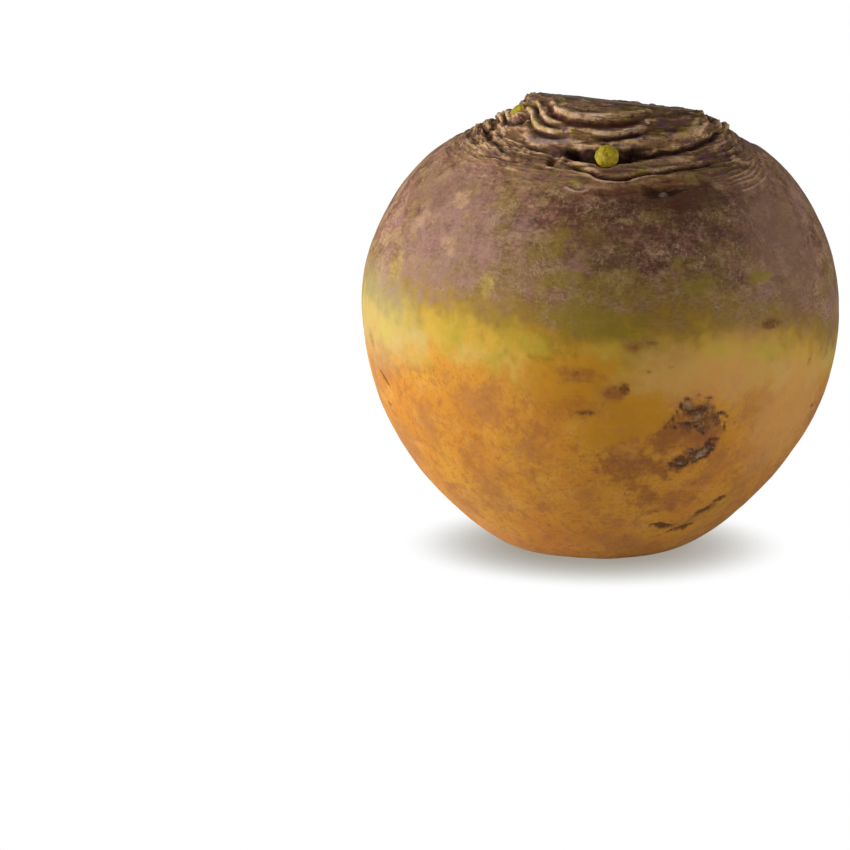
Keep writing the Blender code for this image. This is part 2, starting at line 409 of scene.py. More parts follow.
def spiral_creases():
    """A fold and a furrow for each leaf that stood on the sides and the back of the crown."""
    draw = np.random.default_rng(SPIRAL_SEED)
    creases = []
    for number in range(SPIRAL_SCARS):
        share = number / (SPIRAL_SCARS - 1)
        middle = SPIRAL_MIDDLE + (number * LEAF_TURN) % SPIRAL_SWEEP - SPIRAL_SWEEP / 2.0
        low, high = SPIRAL_DISTANCE
        distance = low + (high - low) * share**1.15
        span = draw.uniform(*SPIRAL_SPAN) * (1.0 - SPAN_LOSS * share)
        lift = draw.uniform(*SPIRAL_LIFT) * (1.0 - LIFT_LOSS * share)
        depth = draw.uniform(*SPIRAL_DEPTH) * (1.0 - DEPTH_LOSS * share)
        drop = draw.uniform(*SPIRAL_DROP)
        width = draw.uniform(*SPIRAL_WIDTH)
        turns = np.linspace(-1.0, 1.0, SPIRAL_PLACES)
        bow = SPIRAL_SAG * (np.cos(turns * math.pi / 2.0) - 1.0)
        wave = draw.normal(0.0, SPIRAL_WAVE, turns.size)
        if middle > SCALES_FROM and distance > LOW_SCARS:
            continue
        if min(span, middle - SMOOTH_RIGHT) < SPIRAL_LEAST_SPAN:
            continue
        fold = list(zip(middle + turns * span, distance + bow + wave))
        furrow = [(azimuth, along + drop * width) for azimuth, along in fold]
        # Each furrow's dark or maroon stain is partly the skin's own colour and partly painted shade.
        stain, dark = SPIRAL_STAINS[number % len(SPIRAL_STAINS)], "dark" if number % 3 else "maroon"
        weight, darkness = draw.uniform(*SPIRAL_WEIGHT), draw.uniform(*SPIRAL_DARKNESS)
        creases.append(Crease(lift, width, 0.8 * width, stain, weight, *fold, taper=SPIRAL_TAPER))
        creases.append(Crease(-depth, 0.5 * width, 0.6 * width, dark, darkness, *furrow, taper=SPIRAL_TAPER))
    return creases


# ---------------------------------------------------------------- spots, scabs, pits and knobs

BELLY_START = 46.0  # distance from the crown's middle where the search for a height begins
HALVINGS = 30
TURNINGS = 6


class Mark:
    """An oval patch of skin, with half sizes and lift in millimetres, a stain, its weight and a lean."""

    def __init__(self, place, half_sizes, lift, stain, weight, lean=0.0, edge=0.25):
        self.place, self.half_sizes, self.lean = place, half_sizes, math.radians(lean)
        self.lift, self.stain, self.weight, self.edge = lift, stain, weight, edge

    def press(self, points, frayed):
        """How much of each point lies inside, with the edge frayed by the given noise."""
        centre, normal = self.place()
        side = np.cross((0.0, 0.0, 1.0), normal)
        side = side / np.linalg.norm(side)
        rise = np.cross(normal, side)
        right = math.cos(self.lean) * side + math.sin(self.lean) * rise
        up = math.cos(self.lean) * rise - math.sin(self.lean) * side
        gap = points - centre
        rows = np.flatnonzero((gap**2).sum(axis=1) < (2.2 * max(self.half_sizes)) ** 2)
        gap = gap[rows]
        reach = np.hypot(gap @ right / self.half_sizes[0], gap @ up / self.half_sizes[1])
        return rows, eased(1.35, 0.45, reach + self.edge * frayed[rows])


def on_crown(azimuth, distance):
    """The place of a mark near the crown."""

    def place():
        point, normal = outward(np.array([math.radians(azimuth)]), np.array([float(distance)]))
        return point[0], normal[0]

    return place


def on_belly(azimuth, height):
    """The place of a mark on the belly, found by halving the way down the side."""

    def place():
        around = np.array([math.radians(azimuth)])
        high, low = BELLY_START, FOOT_RIM
        for _ in range(HALVINGS):
            middle = (high + low) / 2.0
            if root_round(around, np.array([middle]))[0, 2] > height:
                high = middle
            else:
                low = middle
        # Below the crown the rings stand off the axis, so the azimuth is turned until it agrees.
        turned = around.copy()
        for _ in range(TURNINGS):
            x, y, _ = root_round(turned, np.array([middle]))[0]
            turned = turned + around - math.atan2(y, x)
        point, normal = outward(turned, np.array([middle]))
        return point[0], normal[0]

    return place


# For each stain, the rows give azimuth, distance or height, half width, half height, lift and the weight of
# the stain, then if need be the lean and the edge. A spot of weight 0 is a hollow that keeps its colour.
CROWN_MARKS = {
    "maroon": (
        (-64, 44.6, 17, 4.2, 0, 0.62, 2, 0.9), (-141, 23.2, 1.6, 1.2, 0, 0.6, 0, 0.6),
        (-133, 23.8, 1.8, 1, 0, 0.5), (-27, 38, 3.4, 1.4, -0.3, 0.6), (2, 23.2, 8, 1.3, -1.5, 0.2),
        (8, 34, 10, 3.6, -0.5, 0.3), (-152, 26.6, 1.5, 0.8, 0, 0.8), (172, 24.7, 8, 2.5, -2, 0.3, 0, 0.3),
        (16, 35.5, 10, 4, -0.7, 0),
    ),
    # Most of these dark spots lie in hollows and furrows: partly dark skin, partly painted shade.
    "dark": (
        (-73, 43, 3.7, 1.6, -0.9, 1, 2, 0.6), (-67, 42.2, 3, 0.6, -0.5, 0.9, 4, 0.6),
        (-176, 31.6, 1.9, 1.3, -1.3, 1, 30), (-111, 30.4, 4.4, 1.2, -0.6, 1, -6, 0.5),
        (-106, 21.5, 8, 1, 0, 0.4, 0, 0.7), (-48, 22.6, 7, 1.1, 0, 0.55, 0, 0.7),
        (-22, 21.6, 1.2, 0.9, 0.3, 0.4), (-143, 34.9, 2.4, 0.8, -0.3, 0.5, -15, 0.6),
        (-103, 30, 3.3, 1.5, -0.6, 0.9, 0, 0.5), (-80, 29.3, 3.2, 1.2, -0.4, 0.85, 0, 0.5),
    ),
    "grey": ((-72, 42.9, 1.5, 0.9, 0.4, 0.5, 0, 0.8),),
    "pink": (
        (-66, 41.5, 3.2, 0.4, 0.3, 0.6, 5), (-130, 24.6, 0.6, 0.5, 0.4, 0.9),
        (-125, 25, 0.8, 0.4, 0.4, 0.8), (-119, 25.3, 0.9, 0.5, 0.3, 0.7), (-72, 24.4, 0.6, 0.7, 0.5, 0.8),
    ),
    "brown": ((-117, 34.8, 1.1, 1.6, -0.9, 1, -20),),
    "violet": (
        (-114, 31.4, 3, 1, 0, 0.6, -6, 0.5), (-45, 32.2, 5.5, 2.2, 0, 0.65, 10, 0.9),
        (-31, 31.8, 3.6, 2, 0, 0.55, 14, 0.9), (-147, 37, 2.6, 1, 0, 0.6, -10, 0.6),
    ),
    "tan": (
        (-113, 33.4, 0.7, 1.9, 0.7, 1, -25), (-28, 34.8, 2.2, 1.2, 0.4, 0.9, 0, 0.6),
        (-25, 37, 2.2, 1, 0.2, 0.7, 0, 0.6), (-76, 26.3, 0.8, 0.4, 0.4, 0.9),
        (6, 27.7, 4.4, 1.1, 1.2, 0.8, 0, 0.5), (-12, 26.2, 2.2, 0.8, 0.7, 0.9, 12),
        (-154, 35, 2.2, 1.6, 0.6, 1, -40, 0.6), (-157, 32.4, 1.6, 1, 0.4, 0.8, -40, 0.6),
        (-153, 38.3, 3, 0.8, 0.3, 0.8, -12, 0.6), (-138, 36.8, 2, 0.9, 0.4, 0.8, -8, 0.6),
        (-132, 33.4, 1.6, 0.9, 0.3, 0.9), (176, 28.6, 4.5, 1.2, 1.5, 0.6, 0, 0.5),
        (-158, 27.9, 2.6, 0.8, 1.1, 0.8, 8, 0.4), (172, 32.6, 6, 3.4, 1, 0.3, 0, 0.6),
        (-32, 25.5, 7, 3, 0, 0.35, 0, 0.9), (-8, 30, 5, 5, 0, 0.35, 0, 0.9),
        (-160, 29.6, 2, 1.6, 0.4, 0.9, -30, 0.7), (-149, 35.6, 3, 1.7, 0.4, 0.8, -10, 0.8),
        (-170, 37.4, 4, 3, 0.3, 0.7, -30, 0.9), (-158, 38.6, 8, 4, 0, 0.35, 0, 0.9),
        (-113, 23.5, 7, 3, 0, 0.5, 0, 0.9), (-134, 26, 6, 4, 0, 0.5, 0, 0.9),
        (-147, 34, 9, 4, 0, 0.45, 0, 0.9),
    ),
    "olive": (
        (-113, 26.8, 1.2, 2.4, 0.2, 0.8, 10, 0.7), (-104, 41, 2, 1.4, 0.2, 0.7, 0, 0.7),
        (-60, 38.3, 3.2, 2.2, 0.1, 0.5, 0, 1), (-52, 26.2, 1.8, 1.3, 0.3, 0.65, 0, 0.7),
        (-78, 21.4, 9, 1, 0, 0.6), (4, 25.6, 1.4, 0.8, 0.5, 0.5), (-122, 32.6, 2, 1.2, 0.2, 0.7),
        (-168, 23.6, 2, 1.2, 0, 0.8, 0, 0.5), (-168, 23.9, 2.8, 1.1, -0.9, 0.6, 0, 0.3),
    ),
    "lavender": ((-33, 31, 1.6, 0.5, 0.3, 0.8, 60, 0.5),),
    "russet": ((-76, 40, 16, 5, 0, 0.35, 0, 0.9),),
}

BELLY_MARKS = {
    "dusk": (
        (-78, 92, 26, 9, 0, 1, -4, 0.5), (-54, 88, 15, 9, 0, 0.9, -18, 0.6),
        (-103, 84, 9, 5, 0, 0.5, 20, 0.7), (-58, 79, 9, 5, 0, 0.6, -30, 0.7),
        (-82, 82, 14, 6, 0, 0.45, 0, 0.7),
    ),
    "mauve": (
        (-134, 81, 22, 12, 0, 0.52, 0, 0.9), (-109, 80, 6, 8, 0, 0.35, 0, 0.9),
        (-150, 74, 7, 6, 0, 0.35, 0, 0.9),
    ),
    "lavender": ((-111, 89, 7, 4, 0, 0.32, 0, 0.9), (-131, 77, 5, 3.5, 0, 0.25, 0, 0.9)),
    "maroon": (
        (-79, 95.5, 9, 1.8, 0, 0.55, 3, 0.9), (-64, 93.8, 5, 1.8, 0, 0.5, 0, 0.9),
        (-160, 56.1, 2, 3.4, 0, 0.4, 20),
    ),
    "tan": (
        (-133, 93.5, 3.2, 2.6, 0, 0.55, 20, 0.9), (-131, 83.3, 2.6, 2.6, 0, 0.5, 20, 0.9),
        (-145, 88, 2, 3, 0, 0.4, 0, 0.9),
    ),
    "olive": (
        (-104, 83.5, 8, 4, 0, 0.52, 20, 0.9), (-47, 76, 4.6, 1.9, 0, 0.75, 0, 0.9),
        (-69, 80.1, 3.4, 2.4, 0, 0.5, 0, 0.9), (-99, 77, 7, 3, 0, 0.55, 20, 0.6),
        (-66, 76, 5, 3.4, 0, 0.6, 0, 0.6), (-52, 14.5, 11, 2.6, 0, 0.5, 30, 0.9),
        (-103, 61, 9, 5, 0, 0.5, 0, 0.9), (-105, 83.5, 3.2, 1.4, 0, 0.5, -15),
        (-90, 67.6, 15, 5.5, 0, 0.66, -3, 0.8), (-86, 75, 12, 5, 0, 0.45, 0, 0.9),
    ),
    "netted": (
        (-86, 92, 9, 4.5, 0, 0.9, 0, 0.9), (-53, 94, 4.5, 7, 0, 0.9, 0, 0.9),
        (-118, 88, 7, 6, 0, 0.8, 0, 0.9), (-106, 81, 4.5, 5, 0, 0.8, 0, 0.9),
        (-70, 84, 14, 3.5, 0, 0.6, 0, 0.9),
    ),
    # The wide russet patches low on the front right, at heights 20 to 31, are partly russet skin and partly
    # painted shadow.
    "russet": (
        (-66, 40.5, 7, 9, 0, 0.55, -18, 0.6), (-72, 37, 6.5, 5, 0, 0.75, 20, 0.8),
        (-60, 25.3, 4.6, 2.2, 0, 0.5, 0, 0.7), (-82, 30.5, 8, 7, 0, 0.7, 0, 1),
        (-68, 20.5, 11, 5, 0, 0.5, 0, 1), (-95, 54, 7, 2.8, 0, 0.55, 0, 0.7),
        (-86, 50.4, 3.4, 2.4, 0, 0.8, 15, 0.6), (-82, 61.2, 4.2, 1.5, 0, 0.6, 4, 0.7),
        (-61, 38.6, 5, 4, 0, 0.7, 0, 0.8), (-72, 30.5, 7, 4, 0, 0.7, 10, 0.9),
    ),
    "scab": ((-64, 43.6, 6.4, 5, 0.2, 0.6, 0, 0.8), (-64.5, 33.4, 6.6, 2.3, 0.2, 0.85, 22, 0.7)),
    "grey": (
        (-68, 46.5, 1, 0.7, 0.3, 0.6, 0, 0.8), (-61, 45.2, 0.8, 0.5, 0.4, 0.95, 0, 0.5),
        (-57, 47.6, 0.9, 0.6, 0.2, 0.5, 0, 0.8), (-65, 43.2, 1.4, 0.8, 0.2, 0.45, 0, 0.9),
        (-62, 33.5, 1.7, 0.9, 0.4, 0.75, 22, 0.9), (-67.5, 31.2, 1.3, 0.5, 0.2, 0.5, 10, 0.9),
    ),
    "brown": (
        (-84, 51.3, 1.6, 1.5, -0.2, 0.6, 0, 0.7), (-88, 50, 1.2, 1, -0.1, 0.4, 0, 0.7),
        (-78, 55.1, 1.2, 0.8, -0.15, 0.45), (-73, 56, 0.9, 0.6, 0, 0.4), (-95, 54.6, 1.6, 0.8, -0.15, 0.5),
        (-93, 44.8, 2.4, 1.1, -0.3, 0.8), (-73, 41.4, 1.4, 0.9, 0, 0.45),
        (-29, 53.1, 1, 1.8, -0.1, 0.45, -20), (-33, 57.5, 1.4, 0.9, -0.1, 0.35),
        (-46, 64.3, 4, 1.3, -0.15, 0.65, 6, 0.9), (-79, 61.7, 3.6, 0.5, -0.1, 0.5, 10, 0.7),
        (-80, 28.3, 1.6, 1.2, 0, 0.4), (-45, 19, 2.4, 1.4, -0.25, 0.85, 28, 0.6),
        (-50, 15.8, 3.2, 1.3, -0.35, 0.9, 35, 0.7), (-64, 12.4, 4.4, 1.3, -0.5, 1, -14, 0.8),
        (-55, 11, 4.6, 1.2, -0.5, 0.95, 16, 0.8), (-67, 29.8, 5.5, 2.2, 0, 0.4, 20, 0.9),
        (-155, 47.2, 3.6, 0.8, -0.3, 0.9, -40),
    ),
    "gold": (
        (-103, 62.5, 9, 4.5, 0, 0.5, 0, 0.9), (-96, 55, 17, 8, 0, 0.75, 0, 0.5),
        (-80, 44.5, 9, 7, 0, 0.8, 0, 0.5), (-89, 40, 8, 5, 0, 0.7, 0, 0.6),
    ),
    "buff": (
        (-72, 54, 14, 8, 0, 0.75, 0, 0.4), (-52, 59.5, 15, 5.5, 0, 0.5, 0, 0.4),
        (-34, 42, 15, 18, 0, 0.75, 0, 0.4), (-58, 53.5, 19, 9, 0, 0.8, 0, 0.4),
    ),
    "yellow": (
        (-118, 75, 2.8, 3.6, 0, 0.4, -30, 1), (-149, 76, 3, 4.8, 0, 0.38, -20, 1),
        (-45, 75.5, 3.8, 1.4, 0, 0.28, 0, 0.8), (-107, 61.5, 7, 3, 0, 0.45, -8, 0.6),
        (-88, 60.5, 6, 2, 0, 0.45), (-60, 59.8, 7, 2.6, 0, 0.5, 0, 0.6), (-47, 58, 8, 3, 0, 0.5, 0, 0.6),
        (-34, 56, 5, 2.6, 0, 0.35, 0, 0.6), (-150, 60, 7, 4, 0, 0.4, 30, 0.7),
    ),
    "plum": ((-36, 84, 13, 17, 0, 0.85, 0, 0.6), (-141, 93, 15, 9, 0, 0.62, 0, 0.8)),
    "shade": ((-91, 83, 9, 6, 0, 0.55, 0, 0.7),),
    "amber": ((-97, 51.5, 14, 9, 0, 0.6, 0, 0.6),),
    "cream": ((-158, 63, 22, 13, 0, 0.5, 0, 0.3),),
}


def marks_of(table, place):
    """The marks of a table, each put in its place on the crown or on the belly."""
    marks = []
    for stain, rows in table.items():
        for azimuth, along, wide, high, lift, *rest in rows:
            marks.append(Mark(place(azimuth, along), (wide, high), lift, stain, *rest))
    return marks


BELLY_RADIUS = 54.0  # near the height of the scabs
CRACK_DEPTH, CRACK_WEIGHT, CRACK_EDGE = 0.4, 0.75, 0.9
CRACKS = (  # width, then the bends of each crack as (azimuth, height)
    (0.35, (-72, 42.4), (-70, 45.2), (-69, 47.7), (-66, 48.4), (-61, 47.7)),
    (0.70, (-67.5, 44.6), (-64, 45.2)),
    (0.35, (-66.5, 42.2), (-62, 38.1)),
    (0.50, (-61, 42.6), (-58, 43.8), (-56, 41.9)),
    (0.30, (-58, 46.7), (-57.5, 43.5), (-56, 38.6)),
    (0.30, (-71, 40.5), (-69, 41.9), (-66, 41.9)),
    (0.45, (-66, 35.2), (-62, 35.8), (-57.5, 37.2)),
    (0.50, (-71, 31.4), (-67.5, 30.4), (-64, 30.9), (-60, 32.3), (-58.5, 35.2)),
    (0.30, (-68.5, 32.4), (-64.5, 34.6)),
)


def crack_marks():
    """A thin dark slit for each stretch of each crack."""
    marks = []
    for width, *bends in CRACKS:
        for (azimuth, height), (next_azimuth, next_height) in zip(bends, bends[1:]):
            along = math.radians(next_azimuth - azimuth) * BELLY_RADIUS
            rise = next_height - height
            middle = on_belly((azimuth + next_azimuth) / 2.0, (height + next_height) / 2.0)
            slit = (math.hypot(along, rise) / 2.0 + 2.0 * width, 1.4 * width)
            lean = math.degrees(math.atan2(rise, along))
            marks.append(Mark(middle, slit, -CRACK_DEPTH * width, "crack", CRACK_WEIGHT, lean, CRACK_EDGE))
    return marks


# Small spots and specks strewn over the sides and the back, as on the front.
STREWN_SEED = 29
STREWN_SPOTS = 46
STREWN_AZIMUTHS = (-20.0, 205.0)
STREWN_HEIGHTS = (14.0, 66.0)
STREWN_SIZES = (0.6, 2.4)  # the least half size, and how much the largest spots have above it
STREWN_DEPTH = 0.08  # of a spot's size
STREWN_EDGE = 0.5
SIDE_ROOT_AZIMUTHS = (36.0, 152.0)  # thin side roots broke off along two lines on the lower half
SIDE_ROOT_HEIGHTS = (9.0, 52.0)
SIDE_ROOTS = 9
SIDE_ROOT_SCATTER = (3.5, 1.4)  # degrees and millimetres
SIDE_ROOT_SLITS = ((1.6, 4.6), (0.45, 0.9))
SIDE_ROOT_LIFT = -0.45


def strewn_marks():
    """Spots by chance, and the slits left by side roots."""
    draw = np.random.default_rng(STREWN_SEED)
    marks = []
    for _ in range(STREWN_SPOTS):
        place = on_belly(draw.uniform(*STREWN_AZIMUTHS), draw.uniform(*STREWN_HEIGHTS))
        size = STREWN_SIZES[0] + STREWN_SIZES[1] * draw.random() ** 3
        shape = (size * draw.uniform(1.0, 1.6), size * draw.uniform(0.5, 0.9))
        weight, lean = draw.uniform(0.3, 0.85), draw.uniform(-30, 30)
        marks.append(Mark(place, shape, -STREWN_DEPTH * size, "brown", weight, lean, STREWN_EDGE))
    for azimuth in SIDE_ROOT_AZIMUTHS:
        for height in np.linspace(*SIDE_ROOT_HEIGHTS, SIDE_ROOTS):
            aside, above = [draw.normal(0.0, scatter) for scatter in SIDE_ROOT_SCATTER]
            place = on_belly(azimuth + aside, height + above)
            slit = [draw.uniform(*sizes) for sizes in SIDE_ROOT_SLITS]
            weight, lean = draw.uniform(0.6, 1.0), draw.normal(0, 9)
            marks.append(Mark(place, slit, SIDE_ROOT_LIFT, "brown", weight, lean, STREWN_EDGE))
    return marks


# ---------------------------------------------------------------- leaf buds

BUDS = {  # azimuth, distance and lift of the centre, half sizes along, across and out, and a turn in degrees
    "bud_front": ((-94.0, 31.7, 1.3), (3.1, 3.05, 2.9), 0.0),
    "bud_left": ((-161.0, 25.9, -0.3), (1.8, 2.9, 1.5), 27.0),  # it lies aslant between two folds
}
SOCKET_GAP = 0.25


def bud_frame(place, turn):
    """Centre of a bud, and its directions along, across and out of the skin, turned about the last."""
    azimuth, distance, lift = place
    point, out = on_crown(azimuth, distance)()
    level = np.cross((0.0, 0.0, 1.0), out)
    level = level / np.linalg.norm(level)
    uphill = np.cross(out, level)
    cosine, sine = math.cos(math.radians(turn)), math.sin(math.radians(turn))
    return point + out * lift, np.array([cosine * uphill - sine * level, cosine * level + sine * uphill, out])


# ---------------------------------------------------------------- the skin's mesh

SIDES = 416
CUT_RINGS = 22
NECK_STEP = 0.3
NECK_REACH = 25.5
BELLY_RINGS = 122
FOOT_RINGS = 8
MIDDLES = (0.0, FOOT_MIDDLE)  # distances of the two vertices that close the mesh
RAISED_REACH = 5
SCALY_AZIMUTH = -160.0
CREASE_WOBBLE = 0.3
CREASE_CUTTING = 0.9
LIGHT_STAINS = ("tan", "pink", "lavender")  # a furrow cuts through these stains of the folds that it crosses
ROUGH_STAINS = ("brown", "scab")  # spots with these stains leave the skin rough
NECK_FADE = (35.0, 46.0)
WRINKLE_REACH = 3.4  # the smaller it is, the longer the wrinkles that run round the crown
WRINKLE_LIFT, FINE_WRINKLE_LIFT, NECK_LIFT = 0.34, 0.42, 0.22
SCALE_LIFT, FINE_SCALE_LIFT = 0.34, 0.15
SCAB_LIFT = 0.25
SWELL_LIFT, PITTING_LIFT = 0.55, 0.12
CUT_RING_LIFT, CUT_LIFT, CUT_HOLLOW = 0.10, 0.16, 0.9


def ring_places():
    """Azimuth and distance of every vertex between the two middles, ring by ring."""
    azimuth = np.arange(SIDES) * (2.0 * math.pi / SIDES)
    rim = cut_radius(azimuth)
    rings = [rim * (k + 1) / CUT_RINGS for k in range(CUT_RINGS)]
    rings += [rim + NECK_STEP * (k + 1) for k in range(round(NECK_REACH / NECK_STEP))]
    last = rings[-1]
    rings += [last + (FOOT_RIM - last) * (k + 1) / BELLY_RINGS for k in range(BELLY_RINGS)]
    foot = FOOT_MIDDLE - FOOT_RIM
    rings += [np.full(SIDES, FOOT_RIM + foot * (k + 1) / (FOOT_RINGS + 1)) for k in range(FOOT_RINGS)]
    distance = np.array(rings)
    return np.broadcast_to(azimuth, distance.shape).ravel(), distance.ravel()


def ring_faces(rings):
    """Faces of a closed globe of rings: a fan at each end and quads between."""
    around = np.arange(SIDES)
    ahead = (around + 1) % SIDES
    top, bottom = rings * SIDES, rings * SIDES + 1
    faces = [(top, a, b) for a, b in zip(around, ahead)]
    for ring in range(rings - 1):
        upper, lower = ring * SIDES, (ring + 1) * SIDES
        faces += list(zip(upper + around, lower + around, lower + ahead, upper + ahead))
    last = (rings - 1) * SIDES
    faces += [(bottom, last + b, last + a) for a, b in zip(around, ahead)]
    return faces


def neck_coordinates(azimuth, distance):
    """Coordinates in which noise comes out as fine wrinkles that run round the crown."""
    return np.stack([WRINKLE_REACH * np.cos(azimuth), WRINKLE_REACH * np.sin(azimuth), distance], axis=-1)


def cover(mask, rows, amount):
    """Raises the mask to the amount on these rows, wherever it is lower."""
    mask[rows] = np.maximum(mask[rows], amount)


def add_creases(places, relief, stains):
    """Adds the folds and furrows to the relief and their colours to the stains."""
    flat = np.pad(places, ((0, 0), (0, 1)))
    warped = places + CREASE_WOBBLE * np.stack([rough(flat, 3.0, seed, 2) for seed in (3, 4)], axis=-1)
    for crease in (*spiral_creases(), *FRONT_CREASES.values()):
        rows, pressed = crease.press(warped)
        relief[rows] += crease.lift * pressed
        cover(stains[crease.stain], rows, crease.weight * pressed)
        if crease.lift < 0.0:
            for name in LIGHT_STAINS:
                stains[name][rows] *= 1.0 - CREASE_CUTTING * pressed


def add_marks(points, relief, stains):
    """Adds every mark to the relief and the stains, and tells where the skin is left rough."""
    frayed = rough(points, 1.8, 7, 3)
    rough_skin = np.zeros(len(points))
    belly, crown = marks_of(BELLY_MARKS, on_belly), marks_of(CROWN_MARKS, on_crown)
    for mark in (*strewn_marks(), *belly, *crack_marks(), *crown):
        rows, pressed = mark.press(points, frayed)
        relief[rows] += mark.lift * pressed
        cover(stains[mark.stain], rows, mark.weight * pressed)
        if mark.stain in ROUGH_STAINS:
            cover(rough_skin, rows, mark.weight * pressed)
    return rough_skin


def above_neighbours(relief, reach):
    """How far each ring of the mesh stands above the mean of the rings within reach of it."""
    rings = relief[: -len(MIDDLES)].reshape(-1, SIDES)
    share = bump(np.arange(-reach, reach + 1), 0.6 * reach)
    padded = np.pad(rings, ((reach, reach), (0, 0)), mode="edge")
    mean = sum(part * padded[k : k + len(rings)] for k, part in enumerate(share / share.sum()))
    return np.append((rings - mean).ravel(), (0.0, 0.0))


def facing(azimuth, direction, width):
    """1 towards the direction, given in degrees, falling away over the width in radians on both sides."""
    turned = azimuth - math.radians(direction) + math.pi
    return bump(np.remainder(turned, 2.0 * math.pi) - math.pi, width)


def scaly_zone(azimuth, distance, point):
    """Where the skin below the folds breaks up into small scales: most of all on the left."""
    ring = eased(29.0, 34.0, distance) * (1.0 - eased(40.0, 48.0, distance + 5.0 * rough(point, 9.0, 41, 2)))
    patches = 0.9 * eased(0.0, 0.5, rough(point, 16.0, 42, 2))
    return ring * np.clip(facing(azimuth, SCALY_AZIMUTH, 0.75) + patches, 0.0, 1.0)


def neck_zone(azimuth, distance, point):
    """The wrinkled zone round the cut: narrower on the right, and with a frayed lower edge."""
    narrowed = 7.0 * facing(azimuth, 0.0, 0.6) + 5.0 * rough(point, 10.0, 5, 2)
    return 1.0 - eased(*NECK_FADE, distance + narrowed)


def skin_relief(azimuth, distance, point):
    """Lift of the skin in millimetres, and the masks that its colours follow."""
    rim = cut_radius(azimuth)
    off_cut = eased(rim - 0.3, rim + 0.7, distance)
    cut = 1.0 - off_cut
    off_foot = 1.0 - eased(FOOT_RIM - 6.0, FOOT_RIM - 0.5, distance)
    neck = off_cut * neck_zone(azimuth, distance, point)
    scaly = scaly_zone(azimuth, distance, point)
    stains = {name: np.zeros(len(azimuth)) for name in STAINS}
    relief = np.zeros(len(azimuth))
    add_creases(crown_map(azimuth, distance), relief, stains)
    round_crown = neck_coordinates(azimuth, distance)
    relief += neck * WRINKLE_LIFT * ridged(round_crown, 2.1, 8, 2)
    relief += neck * FINE_WRINKLE_LIFT * ridged(round_crown, 1.0, 9, 2)
    relief += neck * NECK_LIFT * rough(point, 2.2, 10, 2)
    relief += scaly * (SCALE_LIFT * ridged(point, 2.6, 11, 2) + FINE_SCALE_LIFT * ridged(point, 1.2, 13))
    relief *= off_cut
    rough_skin = add_marks(point, relief, stains)
    relief += rough_skin * SCAB_LIFT * ridged(point, 2.0, 12, 2)
    swell = SWELL_LIFT * rough(point, 30.0, 21, 2) + PITTING_LIFT * rough(point, 5.0, 22, 2)
    relief += off_foot * (1.0 - neck) * swell
    rings = np.sin((distance + 0.8 * rough(point, 6.0, 31)) * 2.1)
    dried = CUT_RING_LIFT * rings + CUT_LIFT * rough(point, 5.0, 32, 3)
    relief += cut * (dried - CUT_HOLLOW * bump(distance, 5.0))
    foot_edge = FOOT_RIM + 1.6 * rough(point, 4.0, 34, 2)
    masks = {
        "neck": neck,
        "cut": cut,
        "foot": eased(foot_edge - 1.2, foot_edge + 0.4, distance),
        "foot_rim": bump(distance - foot_edge + 0.6, 1.1) * (0.7 + 0.3 * rough(point, 3.0, 35, 2)),
        "rim": bump(distance - rim - 0.2, 0.9) * (0.65 + 0.35 * rough(point, 3.0, 33, 2)),
        "scaly": scaly,
        "rough_skin": rough_skin,
        # The colours pale the crests and darken the hollows by this, partly the skin's own colours and partly
        # painted highlight and painted shade.
        "raised": above_neighbours(relief, RAISED_REACH) * np.maximum(neck, scaly),
    }
    return relief, {**masks, **stains}


def hollow_sockets(points):
    """Hollows the skin under each bud, so that the bud sits in the crown with a thin gap round it."""
    for place, size, turn in BUDS.values():
        centre, axes = bud_frame(place, turn)
        room = np.array(size) + SOCKET_GAP
        local = (points - centre) @ axes.T
        side = np.minimum((local[:, :2] ** 2 / room[:2] ** 2).sum(axis=1), 1.0)
        floor = -room[2] * np.sqrt(1.0 - side)
        inside = (side < 1.0) & (local[:, 2] > floor)
        points[inside] += (floor - local[:, 2])[inside, None] * axes[2]


# Height where the purple of the shoulders gives way to the belly's yellow, by azimuth around the axis.
PURPLE_EDGE = (
    (-166.0, 67.7),
    (-127.0, 68.1),
    (-105.0, 64.5),
    (-90.0, 62.0),
    (-60.0, 63.7),
    (-36.0, 59.2),
    (-10.0, 57.0),
    (40.0, 63.0),
    (80.0, 58.0),
    (120.0, 65.0),
    (160.0, 62.0),
)


def purple_edge(points):
    """Height of each point above the edge of the purple, in millimetres."""
    around = np.degrees(np.arctan2(points[:, 1], points[:, 0]))
    azimuths, heights = zip(*PURPLE_EDGE)
    return points[:, 2] - np.interp(around, azimuths, heights, period=360.0)


def mesh_object(name, points, faces, masks):
    """A smooth-shaded object in the frame's metres, with its masks as attributes."""
    mesh = bpy.data.meshes.new(name)
    mesh.from_pydata((points * MM).tolist(), [], faces)
    mesh.shade_smooth()
    for mask, values in masks.items():
        kind, field = ("FLOAT", "value") if values.ndim == 1 else ("FLOAT_VECTOR", "vector")
        attribute = mesh.attributes.new(mask, kind, "POINT")
        attribute.data.foreach_set(field, values.astype(np.float32).ravel())
    made = bpy.data.objects.new(name, mesh)
    bpy.context.scene.collection.objects.link(made)
    return made


def make_root():
    """The skin with its crown, its cut face, the hollows under the buds and the flat spot it rests on."""
    azimuth, distance = ring_places()
    azimuth = np.append(azimuth, (0.0, 0.0))
    distance = np.append(distance, MIDDLES)
    point, normal = outward(azimuth, distance)
    relief, masks = skin_relief(azimuth, distance, point)
    skin = point + normal * relief[:, None]
    hollow_sockets(skin)
    skin[distance >= FOOT_RIM - 1e-6, 2] = 0.0
    skin[:, 2] = np.maximum(skin[:, 2], 0.0)
    masks["above_edge"] = purple_edge(point)
    masks["ring_place"] = neck_coordinates(azimuth, distance)
    root = mesh_object("root_skin", skin, ring_faces((len(azimuth) - len(MIDDLES)) // SIDES), masks)
    root.data.materials.append(root_finish())
    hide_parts("rutabaga_root")
    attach(root, "root")


# ---------------------------------------------------------------- writing materials as sums


